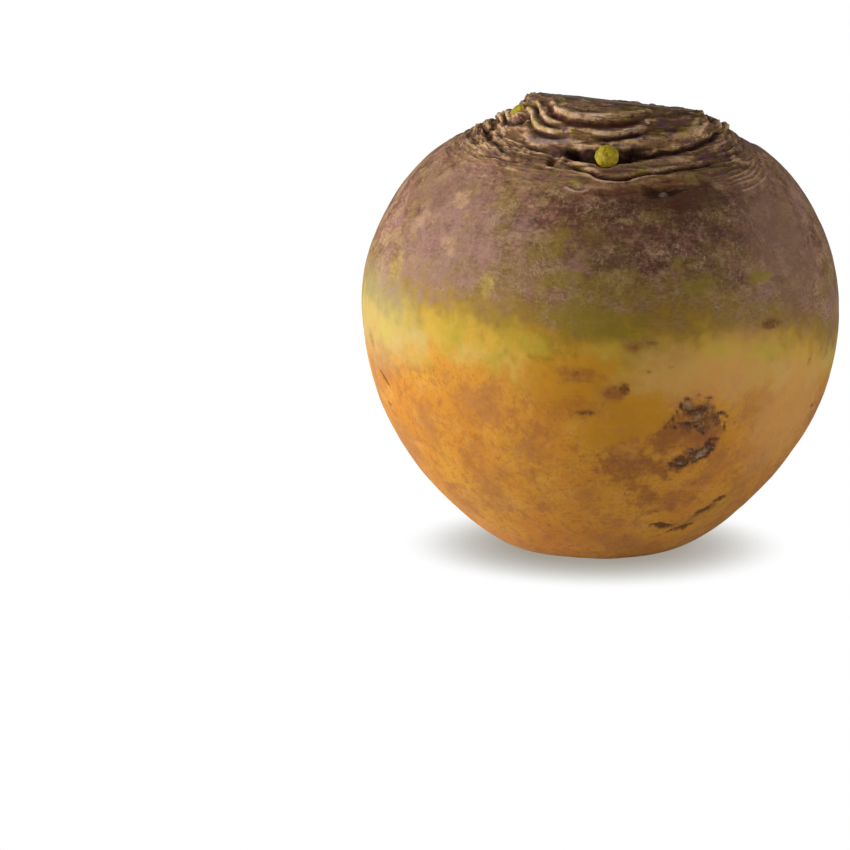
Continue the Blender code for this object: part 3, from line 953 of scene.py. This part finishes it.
class Term:
    """One output of a node, used in sums: 1 - mask and mask * 0.3 add their own Math nodes."""

    def __init__(self, finish, socket):
        self.finish, self.socket = finish, socket

    def __add__(self, other):
        return self.finish.math("ADD", self, other)

    def __radd__(self, other):
        return self.finish.math("ADD", other, self)

    def __sub__(self, other):
        return self.finish.math("SUBTRACT", self, other)

    def __rsub__(self, other):
        return self.finish.math("SUBTRACT", other, self)

    def __mul__(self, other):
        return self.finish.math("MULTIPLY", self, other)

    def __rmul__(self, other):
        return self.finish.math("MULTIPLY", other, self)


class Finish:
    """A material under construction, with the few kinds of node that the finishes are made of."""

    def __init__(self, name):
        self.material = bpy.data.materials.new(name)
        self.material.use_nodes = True
        self.tree = self.material.node_tree
        self.shader = self.tree.nodes["Principled BSDF"]
        place = self.node("ShaderNodeTexCoord", {}, {}, "Object")
        self.place = self.vector("SCALE", place, Scale=1.0 / MM)

    def node(self, kind, settings, sockets, output=0):
        """Adds a node: its settings first, then the values or links of its sockets."""
        made = self.tree.nodes.new(kind)
        for name, value in settings.items():
            setattr(made, name, value)
        for name, value in sockets.items():
            self.feed(made.inputs[name], value)
        return Term(self, made.outputs[output])

    def feed(self, socket, value):
        """Links a term to a socket, or sets the socket to a value."""
        if isinstance(value, Term):
            self.tree.links.new(value.socket, socket)
        elif isinstance(value, tuple) and len(socket.default_value) == 4:
            socket.default_value = (*value, 1.0)
        else:
            socket.default_value = value

    def math(self, operation, *values):
        """One step of arithmetic on terms or numbers."""
        return self.node("ShaderNodeMath", {"operation": operation}, dict(enumerate(values)))

    def vector(self, operation, *values, **sockets):
        sockets = {**dict(enumerate(values)), **sockets}
        return self.node("ShaderNodeVectorMath", {"operation": operation}, sockets)

    def mix(self, share, one, other):
        """One colour where share is 0 and the other where it is 1."""
        return self.node("ShaderNodeMix", {"data_type": "RGBA"}, {0: share, 6: one, 7: other}, 2)

    def veil(self, strength, low, high, value, under, over):
        """One colour over another: nothing of it below low, and this much of it above high."""
        return self.mix(strength * self.ease(low, high, value), under, over)

    def ease(self, low, high, value):
        """0 below low, 1 above high, and a smooth S between them."""
        settings = {"interpolation_type": "SMOOTHSTEP"}
        return self.node("ShaderNodeMapRange", settings, {"Value": value, "From Min": low, "From Max": high})

    def mask(self, name):
        """One of the masks that the mesh carries."""
        return self.node("ShaderNodeAttribute", {"attribute_name": name}, {}, "Fac")

    def stretched(self, x, y, z, place=None):
        """A place with each direction scaled, so that noise comes out drawn into streaks."""
        return self.vector("MULTIPLY", place or self.place, (x, y, z))

    def noise(self, size, layers=2.0, roughness=0.5, bend=0.0, place=None):
        """Soft noise around 0.5 with features about size millimetres."""
        sockets = {
            "Vector": place or self.place,
            "Scale": 1.0 / size,
            "Detail": layers,
            "Roughness": roughness,
            "Distortion": bend,
        }
        return self.node("ShaderNodeTexNoise", {}, sockets)

    def lines(self, size, width, bend, place=None):
        """Thin wandering lines: 1 on the line where smooth noise crosses its middle value."""
        wave = self.noise(size, 1.0, 0.5, bend, place)
        return 1.0 - self.ease(0.0, width, self.math("ABSOLUTE", wave - 0.5))

    def net(self, size, width, place=None):
        """The edges of a net of cells, 1 on the edge."""
        settings = {"feature": "DISTANCE_TO_EDGE"}
        sockets = {"Vector": place or self.place, "Scale": 1.0 / size}
        return 1.0 - self.ease(0.0, width, self.node("ShaderNodeTexVoronoi", settings, sockets))

    def bent(self, reach, size):
        """The place pushed about by noise, for edges that should not run straight."""
        push = self.node("ShaderNodeTexNoise", {}, {"Vector": self.place, "Scale": 1.0 / size}, "Color")
        push = self.vector("SUBTRACT", push, (0.5, 0.5, 0.5))
        return self.vector("ADD", self.place, self.vector("SCALE", push, Scale=reach))

    def bump(self, height, depth, normal=None):
        """Relief whose height of 0 to 1 stands for so many millimetres."""
        sockets = {"Height": height, "Distance": depth * MM, "Strength": 1.0}
        if normal:
            sockets["Normal"] = normal
        return self.node("ShaderNodeBump", {}, sockets, "Normal")

    def finish_with(self, colour, roughness, normal, gloss):
        """Feeds the surface itself and hands over the material."""
        sockets = {"Base Color": colour, "Roughness": roughness, "Normal": normal, **gloss}
        for name, value in sockets.items():
            self.feed(self.shader.inputs[name], value)
        return self.material


# ---------------------------------------------------------------- the root's colours, linear

BELLY_OCHRE = (0.49, 0.195, 0.020)
BELLY_GOLD = (0.52, 0.245, 0.026)
BELLY_RUSSET = (0.30, 0.095, 0.014)
BELLY_TAWNY = (0.34, 0.135, 0.035)
BELLY_PALE = (0.56, 0.28, 0.060)
EDGE_YELLOW = (0.48, 0.30, 0.030)
EDGE_CREAM = (0.50, 0.34, 0.085)
EDGE_GREEN = (0.36, 0.28, 0.020)
EDGE_OLIVE = (0.21, 0.125, 0.012)
SHOULDER_PURPLE = (0.205, 0.092, 0.060)
SHOULDER_DUSK = (0.082, 0.031, 0.018)
SHOULDER_MAUVE = (0.27, 0.135, 0.118)
SHOULDER_RED = (0.20, 0.07, 0.05)
SHOULDER_BUFF = (0.36, 0.23, 0.11)
SHOULDER_OLIVE = (0.19, 0.115, 0.022)
NET_CORK = (0.46, 0.33, 0.18)
# Dark threads round the crown, and the painted shade in its grooves over their own dark colour.
CROWN_DARK_LINE_AND_SHADE = (0.032, 0.011, 0.004)
CROWN_UMBER = (0.115, 0.055, 0.024)
CROWN_TAN = (0.33, 0.17, 0.080)
CROWN_CREST = (0.62, 0.41, 0.26)
CROWN_GOLD = (0.46, 0.30, 0.09)
CROWN_OLIVE = (0.17, 0.125, 0.012)
CROWN_VIOLET = (0.11, 0.045, 0.065)
SOFT_STAINS = {
    "cream": (0.33, 0.300, 0.145),
    "buff": (0.58, 0.295, 0.090),
    "plum": (0.20, 0.11, 0.070),
    "shade": (0.09, 0.05, 0.020),
    "amber": (0.30, 0.10, 0.008),
}
CLOUDY_STAINS = {
    "mauve": (0.27, 0.145, 0.122),
    "gold": (0.47, 0.210, 0.010),
    "russet": (0.25, 0.085, 0.022),
    "tan": (0.44, 0.27, 0.14),
    "pink": (0.48, 0.30, 0.20),
    "olive": (0.20, 0.14, 0.008),
    "yellow": (0.46, 0.34, 0.035),
}
CLEAR_STAINS = {
    "lavender": (0.21, 0.14, 0.125),
    "violet": (0.078, 0.024, 0.034),
    # Near black, laid mostly in furrows and hollows: partly the skin's own dark colour and partly painted
    # shade.
    "dark": (0.022, 0.007, 0.004),
    "maroon": (0.055, 0.015, 0.006),
    "brown": (0.12, 0.045, 0.016),
    "scab": (0.16, 0.070, 0.030),
    "crack": (0.065, 0.022, 0.012),
    "grey": (0.30, 0.23, 0.15),
}
STAINS = ("dusk", "netted", *SOFT_STAINS, *CLOUDY_STAINS, *CLEAR_STAINS)  # the first two only steer patterns
CUT_CORK = (0.27, 0.175, 0.088)
CUT_DARK = (0.10, 0.052, 0.026)
CUT_PITH = (0.060, 0.032, 0.018)
CUT_RIM = (0.045, 0.022, 0.014)
FOOT_CORK = (0.40, 0.25, 0.115)
FOOT_WOOD = (0.24, 0.125, 0.050)
FOOT_DARK = (0.10, 0.048, 0.020)
SKIN_ROUGHNESS = 0.64
SKIN_GLOSS = {"Specular IOR Level": 0.10, "Sheen Weight": 0.04, "Sheen Roughness": 0.45}


def belly_colour(skin, cloud, mottle, grain):
    """Ochre and gold in wide clouds, under pale, russet and tawny patches and fine freckles."""
    colour = skin.mix(skin.ease(0.36, 0.64, cloud), BELLY_OCHRE, BELLY_GOLD)
    colour = skin.veil(0.5, 0.50, 0.70, skin.noise(7.0, 3.0, 0.6), colour, BELLY_PALE)
    colour = skin.veil(0.55, 0.50, 0.72, mottle, colour, BELLY_RUSSET)
    colour = skin.veil(0.7, 0.46, 0.66, skin.noise(11.0, 4.0, 0.65), colour, BELLY_TAWNY)
    freckle = skin.noise(2.2, 3.0, 0.65)
    colour = skin.veil(0.6, 0.50, 0.68, freckle, colour, BELLY_TAWNY)
    return skin.veil(0.4, 0.52, 0.70, grain, colour, BELLY_RUSSET)


def edge_colour(skin, cloud, mottle, above):
    """The band under the shoulders: olive above, then green, yellow and cream in soft clouds."""
    colour = skin.mix(skin.ease(0.45, 0.62, cloud), EDGE_YELLOW, EDGE_CREAM)
    green = skin.noise(13.0, 2.0, 0.5) + 0.3 * (mottle - 0.5)
    colour = skin.veil(0.75, 0.44, 0.62, green, colour, EDGE_GREEN)
    return skin.veil(0.95, -8.0, 4.0, above, colour, EDGE_OLIVE)


def shoulder_colour(skin, cloud, mottle, grain, above):
    """Dusk and purple, under clouds of mauve, red, buff and olive: darkest where the dusk mask says so."""
    dusk = skin.mask("dusk")
    lower = 1.0 - skin.ease(2.0, 28.0, above)
    colour = skin.mix(skin.ease(0.32, 0.58, mottle - 0.16 * dusk), SHOULDER_DUSK, SHOULDER_PURPLE)
    colour = skin.veil(0.8, 0.46, 0.66, cloud - 0.25 * dusk, colour, SHOULDER_MAUVE)
    colour = skin.veil(0.4, 0.54, 0.70, skin.noise(9.0, 3.0, 0.6), colour, SHOULDER_RED)
    buff = skin.noise(5.5, 3.0, 0.6, place=skin.stretched(1.0, 1.0, 1.5))
    colour = skin.veil(0.6, 0.50, 0.66, buff + 0.06 * lower - 0.12 * dusk, colour, SHOULDER_BUFF)
    colour = skin.veil(0.65, 0.46, 0.70, skin.noise(8.0, 3.0, 0.6) + 0.14 * lower, colour, SHOULDER_OLIVE)
    # A fine sideways weave of pale rubbed skin and dark skin between.
    weave = skin.noise(1.5, 4.0, 0.7, place=skin.stretched(1.0, 1.0, 2.6))
    colour = skin.veil(0.40, 0.50, 0.68, weave - 0.06 * dusk, colour, SHOULDER_BUFF)
    colour = skin.mix(0.5 * (1.0 - skin.ease(0.34, 0.50, weave - 0.05 * dusk)), colour, SHOULDER_DUSK)
    return skin.veil(0.3, 0.5, 0.7, grain, colour, SHOULDER_BUFF)


def turned_colour(skin, cloud, mottle, grain):
    """The belly, the band above it and the purple shoulders, and how purple the skin is."""
    upright = skin.noise(1.6, 3.0, 0.6, 0.0, skin.stretched(1.0, 1.0, 0.22))
    above = skin.mask("above_edge") + 13.0 * (mottle - 0.5) + 14.0 * (cloud - 0.5) + 1.5 * (upright - 0.5)
    colour = belly_colour(skin, cloud, mottle, grain)
    band = skin.ease(-15.0, -5.0, above) * 0.9
    colour = skin.mix(band, colour, edge_colour(skin, cloud, mottle, above))
    purple = skin.ease(-2.0, 12.0, above)
    colour = skin.mix(purple, colour, shoulder_colour(skin, cloud, mottle, grain, above))
    for stain, stain_colour in SOFT_STAINS.items():
        colour = skin.mix(0.8 * skin.mask(stain), colour, stain_colour)
    return colour, purple


def cork_netting(skin, mottle, grain, purple):
    """Soft pale lines and rubbed skin over the shoulders only, thickest in a few patches."""
    flat, tall = skin.stretched(1.0, 1.0, 1.8), skin.stretched(1.5, 1.5, 1.0)
    patchy = skin.ease(0.42, 0.62, skin.noise(7.0, 3.0, 0.6)) + 0.9 * skin.mask("netted")
    steep = 0.8 * skin.lines(3.2, 0.045, 0.0, tall)
    threads = skin.math("MAXIMUM", skin.lines(2.4, 0.055, 0.0, flat), steep)
    threads = threads * skin.ease(0.36, 0.60, mottle) * skin.ease(0.38, 0.54, grain)
    rubbed = skin.ease(0.52, 0.64, skin.noise(4.5, 6.0, 0.8, place=flat))
    covered = skin.math("MAXIMUM", 0.6 * rubbed, threads) * patchy * purple
    return covered * (1.0 - 0.7 * skin.mask("plum"))


def with_scales(skin, colour, scaly, height):
    """Small scales under the folds: plates of tan and purple with dark gaps."""
    plates = skin.net(2.4, 0.10, skin.stretched(1.0, 1.0, 1.7, skin.bent(2.4, 2.0)))
    tan_plates = skin.ease(0.44, 0.60, skin.noise(2.3, 3.0, 0.6, place=skin.stretched(1.0, 1.0, 1.5)))
    colour = skin.mix(scaly * tan_plates * 0.85, colour, CROWN_TAN)
    # The raised scales are paler: partly their own colour, partly painted highlight.
    colour = skin.mix(scaly * skin.ease(0.05, 0.40, height) * 0.75, colour, CROWN_CREST)
    return skin.mix(scaly * plates * 0.45, colour, SHOULDER_DUSK)


def crown_colour(skin, height):
    """Dark in the grooves and pale on the crests, partly the skin's own colours and partly painted shade and
    painted highlight, with olive and violet clouds between.
    """
    colour = skin.mix(skin.ease(-0.10, 0.30, height), CROWN_UMBER, CROWN_TAN)
    colour = skin.veil(0.65, 0.52, 0.64, skin.noise(3.6, 3.0, 0.6), colour, CROWN_OLIVE)
    violet = skin.noise(4.6, 3.0, 0.6, place=skin.stretched(1.0, 1.0, 1.7))
    return skin.veil(0.75, 0.52, 0.64, violet, colour, CROWN_VIOLET)


def with_worn_folds_and_painted_light(skin, colour, neck, scaly, height, flecks, ring_place):
    """On the folds the crests are pale, partly rubbed skin and partly painted highlight; the grooves stay
    dark, partly their own colour and partly painted shade, and threads and flecks run between.
    """
    wrinkled = skin.math("MAXIMUM", neck, 0.7 * scaly)
    crest = skin.mix(skin.ease(0.45, 0.60, skin.noise(2.6, 2.0, 0.6)), CROWN_CREST, CROWN_GOLD)
    # Pale crests where the skin stands raised: partly rubbed skin, partly painted highlight.
    rubbed = skin.ease(0.10, 0.50, height + 0.8 * (flecks - 0.5))
    colour = skin.mix(0.8 * rubbed * wrinkled, colour, crest)
    colour = skin.mix(0.65 * (1.0 - skin.ease(0.33, 0.47, flecks)) * wrinkled, colour, CROWN_UMBER)
    threads = skin.lines(1.5, 0.035, 0.1, ring_place) * skin.ease(0.40, 0.56, skin.noise(3.0, 2.0, 0.6))
    colour = skin.mix(0.8 * threads * neck, colour, CROWN_DARK_LINE_AND_SHADE)
    # Painted shade in the grooves, laid over their own dark colour.
    groove = (1.0 - skin.ease(-0.65, -0.10, height)) * wrinkled * (1.0 - 0.75 * scaly)
    return skin.mix(0.92 * groove, colour, CROWN_DARK_LINE_AND_SHADE)


def with_cut_ends(skin, colour, ring_place, mottle, grain):
    """The two ends where the root was cut across, with faint rings and radial cracks round a dark middle."""
    from_middle = skin.node("ShaderNodeSeparateXYZ", {}, {"Vector": ring_place}, "Z")
    rings = skin.noise(1.6, 3.0, 0.6, 0.3, skin.stretched(0.7, 0.7, 1.0, ring_place))
    radial = skin.lines(1.3, 0.045, 0.4, skin.stretched(1.0, 1.0, 0.10, ring_place))
    colour = skin.mix(skin.mask("cut"), colour, cut_colour(skin, from_middle, rings, radial, mottle, grain))
    colour = skin.mix(skin.mask("rim"), colour, CUT_RIM)
    colour = skin.mix(skin.mask("foot"), colour, foot_colour(skin, from_middle, rings, radial, mottle, grain))
    return skin.mix(0.8 * skin.mask("foot_rim"), colour, FOOT_DARK)


def cut_colour(skin, from_middle, rings, radial, mottle, grain):
    """Dried cork where the leaves were sliced off, with a darker pith in the middle."""
    colour = skin.mix(skin.ease(0.36, 0.62, mottle + 0.3 * (grain - 0.5)), CUT_DARK, CUT_CORK)
    outer = skin.ease(3.0, 9.0, from_middle)
    colour = skin.mix(0.6 * outer * (1.0 - skin.ease(0.38, 0.56, rings)), colour, CUT_DARK)
    colour = skin.mix(0.35 * outer * skin.ease(0.56, 0.70, rings), colour, CUT_CORK)
    colour = skin.mix(0.7 * outer * radial * skin.ease(0.42, 0.58, mottle), colour, CUT_RIM)
    pith = 1.0 - skin.ease(3.0, 5.5, from_middle + 5.0 * (mottle - 0.5) + 2.0 * (grain - 0.5))
    return skin.mix(0.85 * pith, colour, CUT_PITH)


def foot_colour(skin, from_middle, rings, radial, mottle, grain):
    """The trimmed root end: rings of pale cork and wood, dark in the middle."""
    colour = skin.mix(skin.ease(0.40, 0.60, rings + 0.5 * (grain - 0.5)), FOOT_WOOD, FOOT_CORK)
    colour = skin.veil(0.5, 0.45, 0.65, mottle, colour, FOOT_WOOD)
    colour = skin.mix(0.6 * radial, colour, FOOT_DARK)
    middle = skin.ease(FOOT_MIDDLE - 4.5, FOOT_MIDDLE - 2.0, from_middle + 3.0 * (mottle - 0.5))
    return skin.mix(0.8 * middle, colour, FOOT_DARK)


def stained(skin, colour, stains, share, fray):
    """The colour with each stain laid over it, its edge frayed."""
    for stain, stain_colour in stains.items():
        mask = skin.mask(stain)
        covered = skin.ease(0.05, 0.95, mask + fray * skin.ease(0.0, 0.5, mask))
        colour = skin.mix(share * covered, colour, stain_colour)
    return colour


def with_scabs(skin, colour, flecks):
    """A net of fine cracks over the scabs, with grey flakes between them."""
    scab = skin.mask("scab")
    dark_flecks = 1.0 - skin.ease(0.36, 0.50, flecks)
    cracks = skin.math("MAXIMUM", skin.net(2.6, 0.16, skin.bent(3.0, 2.2)), dark_flecks)
    flakes = skin.ease(0.52, 0.66, skin.noise(1.6, 3.0, 0.6, 0.3)) * skin.ease(0.25, 0.7, scab)
    colour = skin.mix(0.5 * flakes, colour, CLEAR_STAINS["grey"])
    return skin.mix(0.7 * cracks * skin.ease(0.2, 0.75, scab), colour, CLEAR_STAINS["crack"])


def root_finish():
    """The skin's finish, laid on from the belly's colours up to the scabs."""
    skin = Finish("root_skin")
    cloud = skin.noise(17.0, 3.0, 0.55)
    mottle = skin.noise(4.2, 4.0, 0.6, 0.2)
    grain = skin.noise(0.9, 3.0, 0.6)
    flecks = skin.noise(1.3, 4.0, 0.7, place=skin.stretched(1.0, 1.0, 1.5))
    ring_place = skin.node("ShaderNodeAttribute", {"attribute_name": "ring_place"}, {}, "Vector")
    streak = skin.noise(0.9, 4.0, 0.7, 0.0, ring_place)
    neck, scaly = skin.mask("neck"), skin.mask("scaly")
    height = skin.mask("raised") + 1.5 * (streak - 0.5)
    fray = 0.8 * (grain - 0.5) + 0.7 * (streak - 0.5) + 0.9 * (mottle - 0.5)

    colour, purple = turned_colour(skin, cloud, mottle, grain)
    corky = cork_netting(skin, mottle, grain, purple)
    colour = skin.mix(0.46 * corky, colour, NET_CORK)
    pores = skin.ease(0.60, 0.70, skin.noise(1.1, 3.0, 0.7, place=skin.stretched(1.0, 1.0, 1.8)))
    colour = skin.mix(0.6 * pores * purple, colour, SHOULDER_DUSK)
    colour = with_scales(skin, colour, scaly, height)
    colour = skin.mix(neck, colour, crown_colour(skin, height))
    colour = with_cut_ends(skin, colour, ring_place, mottle, grain)
    colour = stained(skin, colour, CLOUDY_STAINS, 0.85, fray)
    colour = with_worn_folds_and_painted_light(skin, colour, neck, scaly, height, flecks, ring_place)
    colour = stained(skin, colour, CLEAR_STAINS, 0.95, fray)
    colour = with_scabs(skin, colour, flecks)

    roughness = SKIN_ROUGHNESS + 0.22 * neck + 0.34 * skin.mask("cut")
    roughness = roughness + 0.2 * skin.mask("rough_skin") + 0.16 * (grain - 0.5)
    relief = None
    for lifted, depth in ((grain, 0.05), (corky, 0.10), (streak * neck, 1.2), (mottle, 0.14)):
        relief = skin.bump(lifted, depth, relief)
    return skin.finish_with(colour, roughness, relief, SKIN_GLOSS)


# ---------------------------------------------------------------- the buds' meshes and finish

BUD_DETAIL = 5
BUD_SCALES = 12
BUD_SCALE_LIFT = 0.19
BUD_SCALE_WIDTH = 0.68
BUD_SPREAD = 1.25  # how far down the bud its scales reach: 1 would be halfway
BUD_SEED_TURN = 40.0
INNER_DOME_LOSS = 0.25
DIMPLE_WIDTH, DIMPLE_DEPTH = 0.18, 0.14
SEAM_WIDTH, SEAM_DEPTH = 0.09, 0.035
BUD_ROUGHNESS = 0.05


def unit_ball():
    """Vertices and faces of a ball of radius 1."""
    bpy.ops.mesh.primitive_ico_sphere_add(subdivisions=BUD_DETAIL, radius=1.0)
    ball = bpy.context.object
    vertices = np.empty(len(ball.data.vertices) * 3)
    ball.data.vertices.foreach_get("co", vertices)
    faces = [tuple(face.vertices) for face in ball.data.polygons]
    bpy.data.objects.remove(ball, do_unlink=True)
    return vertices.reshape(-1, 3), faces


def angle_between(vertices, direction):
    """Angle of each vertex of the unit ball from a direction of length 1."""
    return np.arccos(np.clip(vertices @ direction, -1.0, 1.0))


def make_bud(name, node, lean, seed):
    """A knob of small closed leaves: rounded scales that overlap in a spiral towards the tip.

    The tip leans downhill from straight out of the skin by lean degrees.
    """
    vertices, faces = unit_ball()
    tip_out, tip_down = math.cos(math.radians(lean)), math.sin(math.radians(lean))
    to_tip = np.array([[tip_out, 0.0, tip_down], [0.0, 1.0, 0.0], [-tip_down, 0.0, tip_out]])
    lift, below, edge = np.zeros((3, len(vertices)))
    for number in range(BUD_SCALES):
        share = (number + 0.5) / BUD_SCALES
        tilt = math.acos(1.0 - BUD_SPREAD * share)
        around = math.radians(LEAF_TURN * number + BUD_SEED_TURN * seed)
        off_tip = math.sin(tilt)
        leaf = np.array([off_tip * math.cos(around), off_tip * math.sin(around), math.cos(tilt)])
        angle = angle_between(vertices, leaf @ to_tip) / BUD_SCALE_WIDTH
        dome = np.clip(1.0 - angle**2, 0.0, 1.0) ** 0.5 * (1.0 - INNER_DOME_LOSS * share)
        edge = np.where(dome > lift, np.clip(angle, 0.0, 1.0), edge)
        below = np.maximum(below, np.minimum(dome, lift))
        lift = np.maximum(lift, dome)
    seam = bump(lift - below, SEAM_WIDTH)  # the line where two scales meet
    dimple = bump(angle_between(vertices, to_tip[2]), DIMPLE_WIDTH)
    grown = 1.0 - BUD_SCALE_LIFT + BUD_SCALE_LIFT * lift - DIMPLE_DEPTH * dimple
    grown = grown + BUD_ROUGHNESS * rough(vertices, 0.5, seed, 3) - SEAM_DEPTH * seam
    place, size, turn = BUDS[name]
    centre, axes = bud_frame(place, turn)
    points = centre + (vertices * grown[:, None] * np.array(size)) @ axes
    made = mesh_object(name, points, faces, {"edge": edge, "dimple": dimple, "lift": lift, "seam": seam})
    made.data.materials.append(bud_finish(name))
    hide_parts(node)
    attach(made, "root")


BUD_YELLOW = (0.37, 0.265, 0.008)
BUD_GREEN = (0.22, 0.170, 0.006)
BUD_PALE = (0.46, 0.36, 0.07)
BUD_BROWN = (0.14, 0.085, 0.004)
BUD_GLOSS = {"Specular IOR Level": 0.15}


def bud_finish(name):
    """Yellow and green in soft patches, pale on the scales' rims and brown in the cracks and at the tip."""
    leaf = Finish(name)
    speckle = leaf.noise(0.6, 3.0, 0.6, 0.3)
    patch = leaf.noise(1.8, 2.0, 0.5, 0.3)
    colour = leaf.mix(leaf.ease(0.40, 0.62, patch), BUD_YELLOW, BUD_GREEN)
    colour = leaf.veil(0.35, 0.55, 0.72, speckle, colour, BUD_PALE)
    # Each scale is pale towards its rim, and dark where the next one covers it.
    colour = leaf.veil(0.3, 0.40, 0.75, leaf.mask("edge") + 0.5 * (speckle - 0.5), colour, BUD_PALE)
    colour = leaf.mix(0.6 * leaf.mask("seam") * leaf.ease(0.30, 0.55, speckle), colour, BUD_BROWN)
    crack = 1.0 - leaf.ease(0.02, 0.35, leaf.mask("lift"))
    colour = leaf.mix(0.8 * crack, colour, BUD_BROWN)
    colour = leaf.mix(0.7 * leaf.mask("dimple"), colour, BUD_BROWN)
    roughness = 0.66 + 0.2 * (speckle - 0.5)
    return leaf.finish_with(colour, roughness, leaf.bump(speckle, 0.2), BUD_GLOSS)


# ---------------------------------------------------------------- camera, floor and light

CAMERA_PLACE = (0.0, -800.0, 185.0)
CAMERA_AIM = (-44.3, 0.0, 30.6)
CAMERA_LENS = 134.2
CAMERA_SENSOR = 36.0

AMBIENT = 0.25
SOFTBOXES = {  # place, aim, side and power
    "left softbox": ((-0.95, -0.18, 0.32), (0.0, 0.0, 0.06), 0.55, 15.0),
    "right fill": ((0.95, -0.25, 0.30), (0.0, 0.0, 0.06), 0.50, 4.3),
}
FLOOR_REACH = 3.0
FLOOR_DROP = 0.00015  # the floor lies this far under the flat spot, so that the two never share a plane
SHADOW_REACH = 0.019
SHADOW_TINT = (0.36, 0.33, 0.28)
SHADOW_FULL = 0.90
SHADOW_SAMPLES = 16
WHITE = (1.0, 1.0, 1.0)
FLOOR_WHITE = (0.85, 0.85, 0.85)
FLOOR_ROUGHNESS = 0.9


def add_object(name, data, location=(0.0, 0.0, 0.0), aim=None):
    """Puts an object into the scene, turned towards its aim if it has one."""
    made = bpy.data.objects.new(name, data)
    made.location = location
    if aim is not None:
        made.rotation_euler = (Vector(aim) - Vector(location)).to_track_quat("-Z", "Y").to_euler()
    bpy.context.scene.collection.objects.link(made)
    return made


def make_camera():
    lens = bpy.data.cameras.new("camera")
    lens.lens = CAMERA_LENS
    lens.sensor_width = CAMERA_SENSOR
    bpy.context.scene.camera = add_object("camera", lens, Vector(CAMERA_PLACE) * MM, Vector(CAMERA_AIM) * MM)


def make_lights():
    for name, (place, aim, side, power) in SOFTBOXES.items():
        light = bpy.data.lights.new(name, "AREA")
        light.shape = "SQUARE"
        light.size = side
        light.energy = power
        add_object(name, light, place, aim)


def make_world():
    """A plain white room: bright where it is seen, dimmer as light."""
    world = bpy.data.worlds.new("studio")
    world.use_nodes = True
    nodes, links = world.node_tree.nodes, world.node_tree.links
    seen = nodes.new("ShaderNodeLightPath").outputs["Is Camera Ray"]
    strength = nodes.new("ShaderNodeMapRange")
    strength.inputs["To Min"].default_value = AMBIENT
    strength.inputs["To Max"].default_value = 1.0
    links.new(seen, strength.inputs["Value"])
    links.new(strength.outputs["Result"], nodes["Background"].inputs["Strength"])
    nodes["Background"].inputs["Color"].default_value = (*WHITE, 1.0)
    bpy.context.scene.world = world


def make_floor():
    """A white floor that is lit evenly out to the horizon and darkens only close to what stands on it, where a
    contact shadow is painted into the glow that the camera sees.
    """
    mesh = bpy.data.meshes.new("floor")
    corners = [(x * FLOOR_REACH, y * FLOOR_REACH, 0.0) for x, y in ((-1, -1), (1, -1), (1, 1), (-1, 1))]
    mesh.from_pydata(corners, [], [(0, 1, 2, 3)])
    floor = add_object("floor", mesh, (0.0, 0.0, -FLOOR_DROP))
    paint = Finish("floor")
    settings = {"samples": SHADOW_SAMPLES}
    # Painted contact shadow: the glow dims where ambient occlusion finds something close.
    open_sky = paint.node("ShaderNodeAmbientOcclusion", settings, {"Distance": SHADOW_REACH}, "AO")
    glow_and_painted_shadow = paint.mix(paint.ease(0.0, SHADOW_FULL, open_sky), SHADOW_TINT, WHITE)
    seen = paint.node("ShaderNodeLightPath", {}, {}, "Is Camera Ray")
    white = paint.node("ShaderNodeEmission", {}, {"Color": glow_and_painted_shadow})
    paint.feed(paint.shader.inputs["Base Color"], FLOOR_WHITE)
    paint.feed(paint.shader.inputs["Roughness"], FLOOR_ROUGHNESS)
    lit = Term(paint, paint.shader.outputs[0])
    surface = paint.node("ShaderNodeMixShader", {}, {0: seen, 1: lit, 2: white})
    paint.feed(paint.tree.nodes["Material Output"].inputs["Surface"], surface)
    mesh.materials.append(paint.material)


def write_sizes():
    bpy.context.view_layer.update()


make_camera()
make_world()
make_lights()
make_floor()
make_root()
make_bud("bud_front", "crown_bud_front", 38.0, 1)
make_bud("bud_left", "crown_bud_left", 0.0, 2)
bpy.context.scene.view_settings.view_transform = "Standard"
write_sizes()
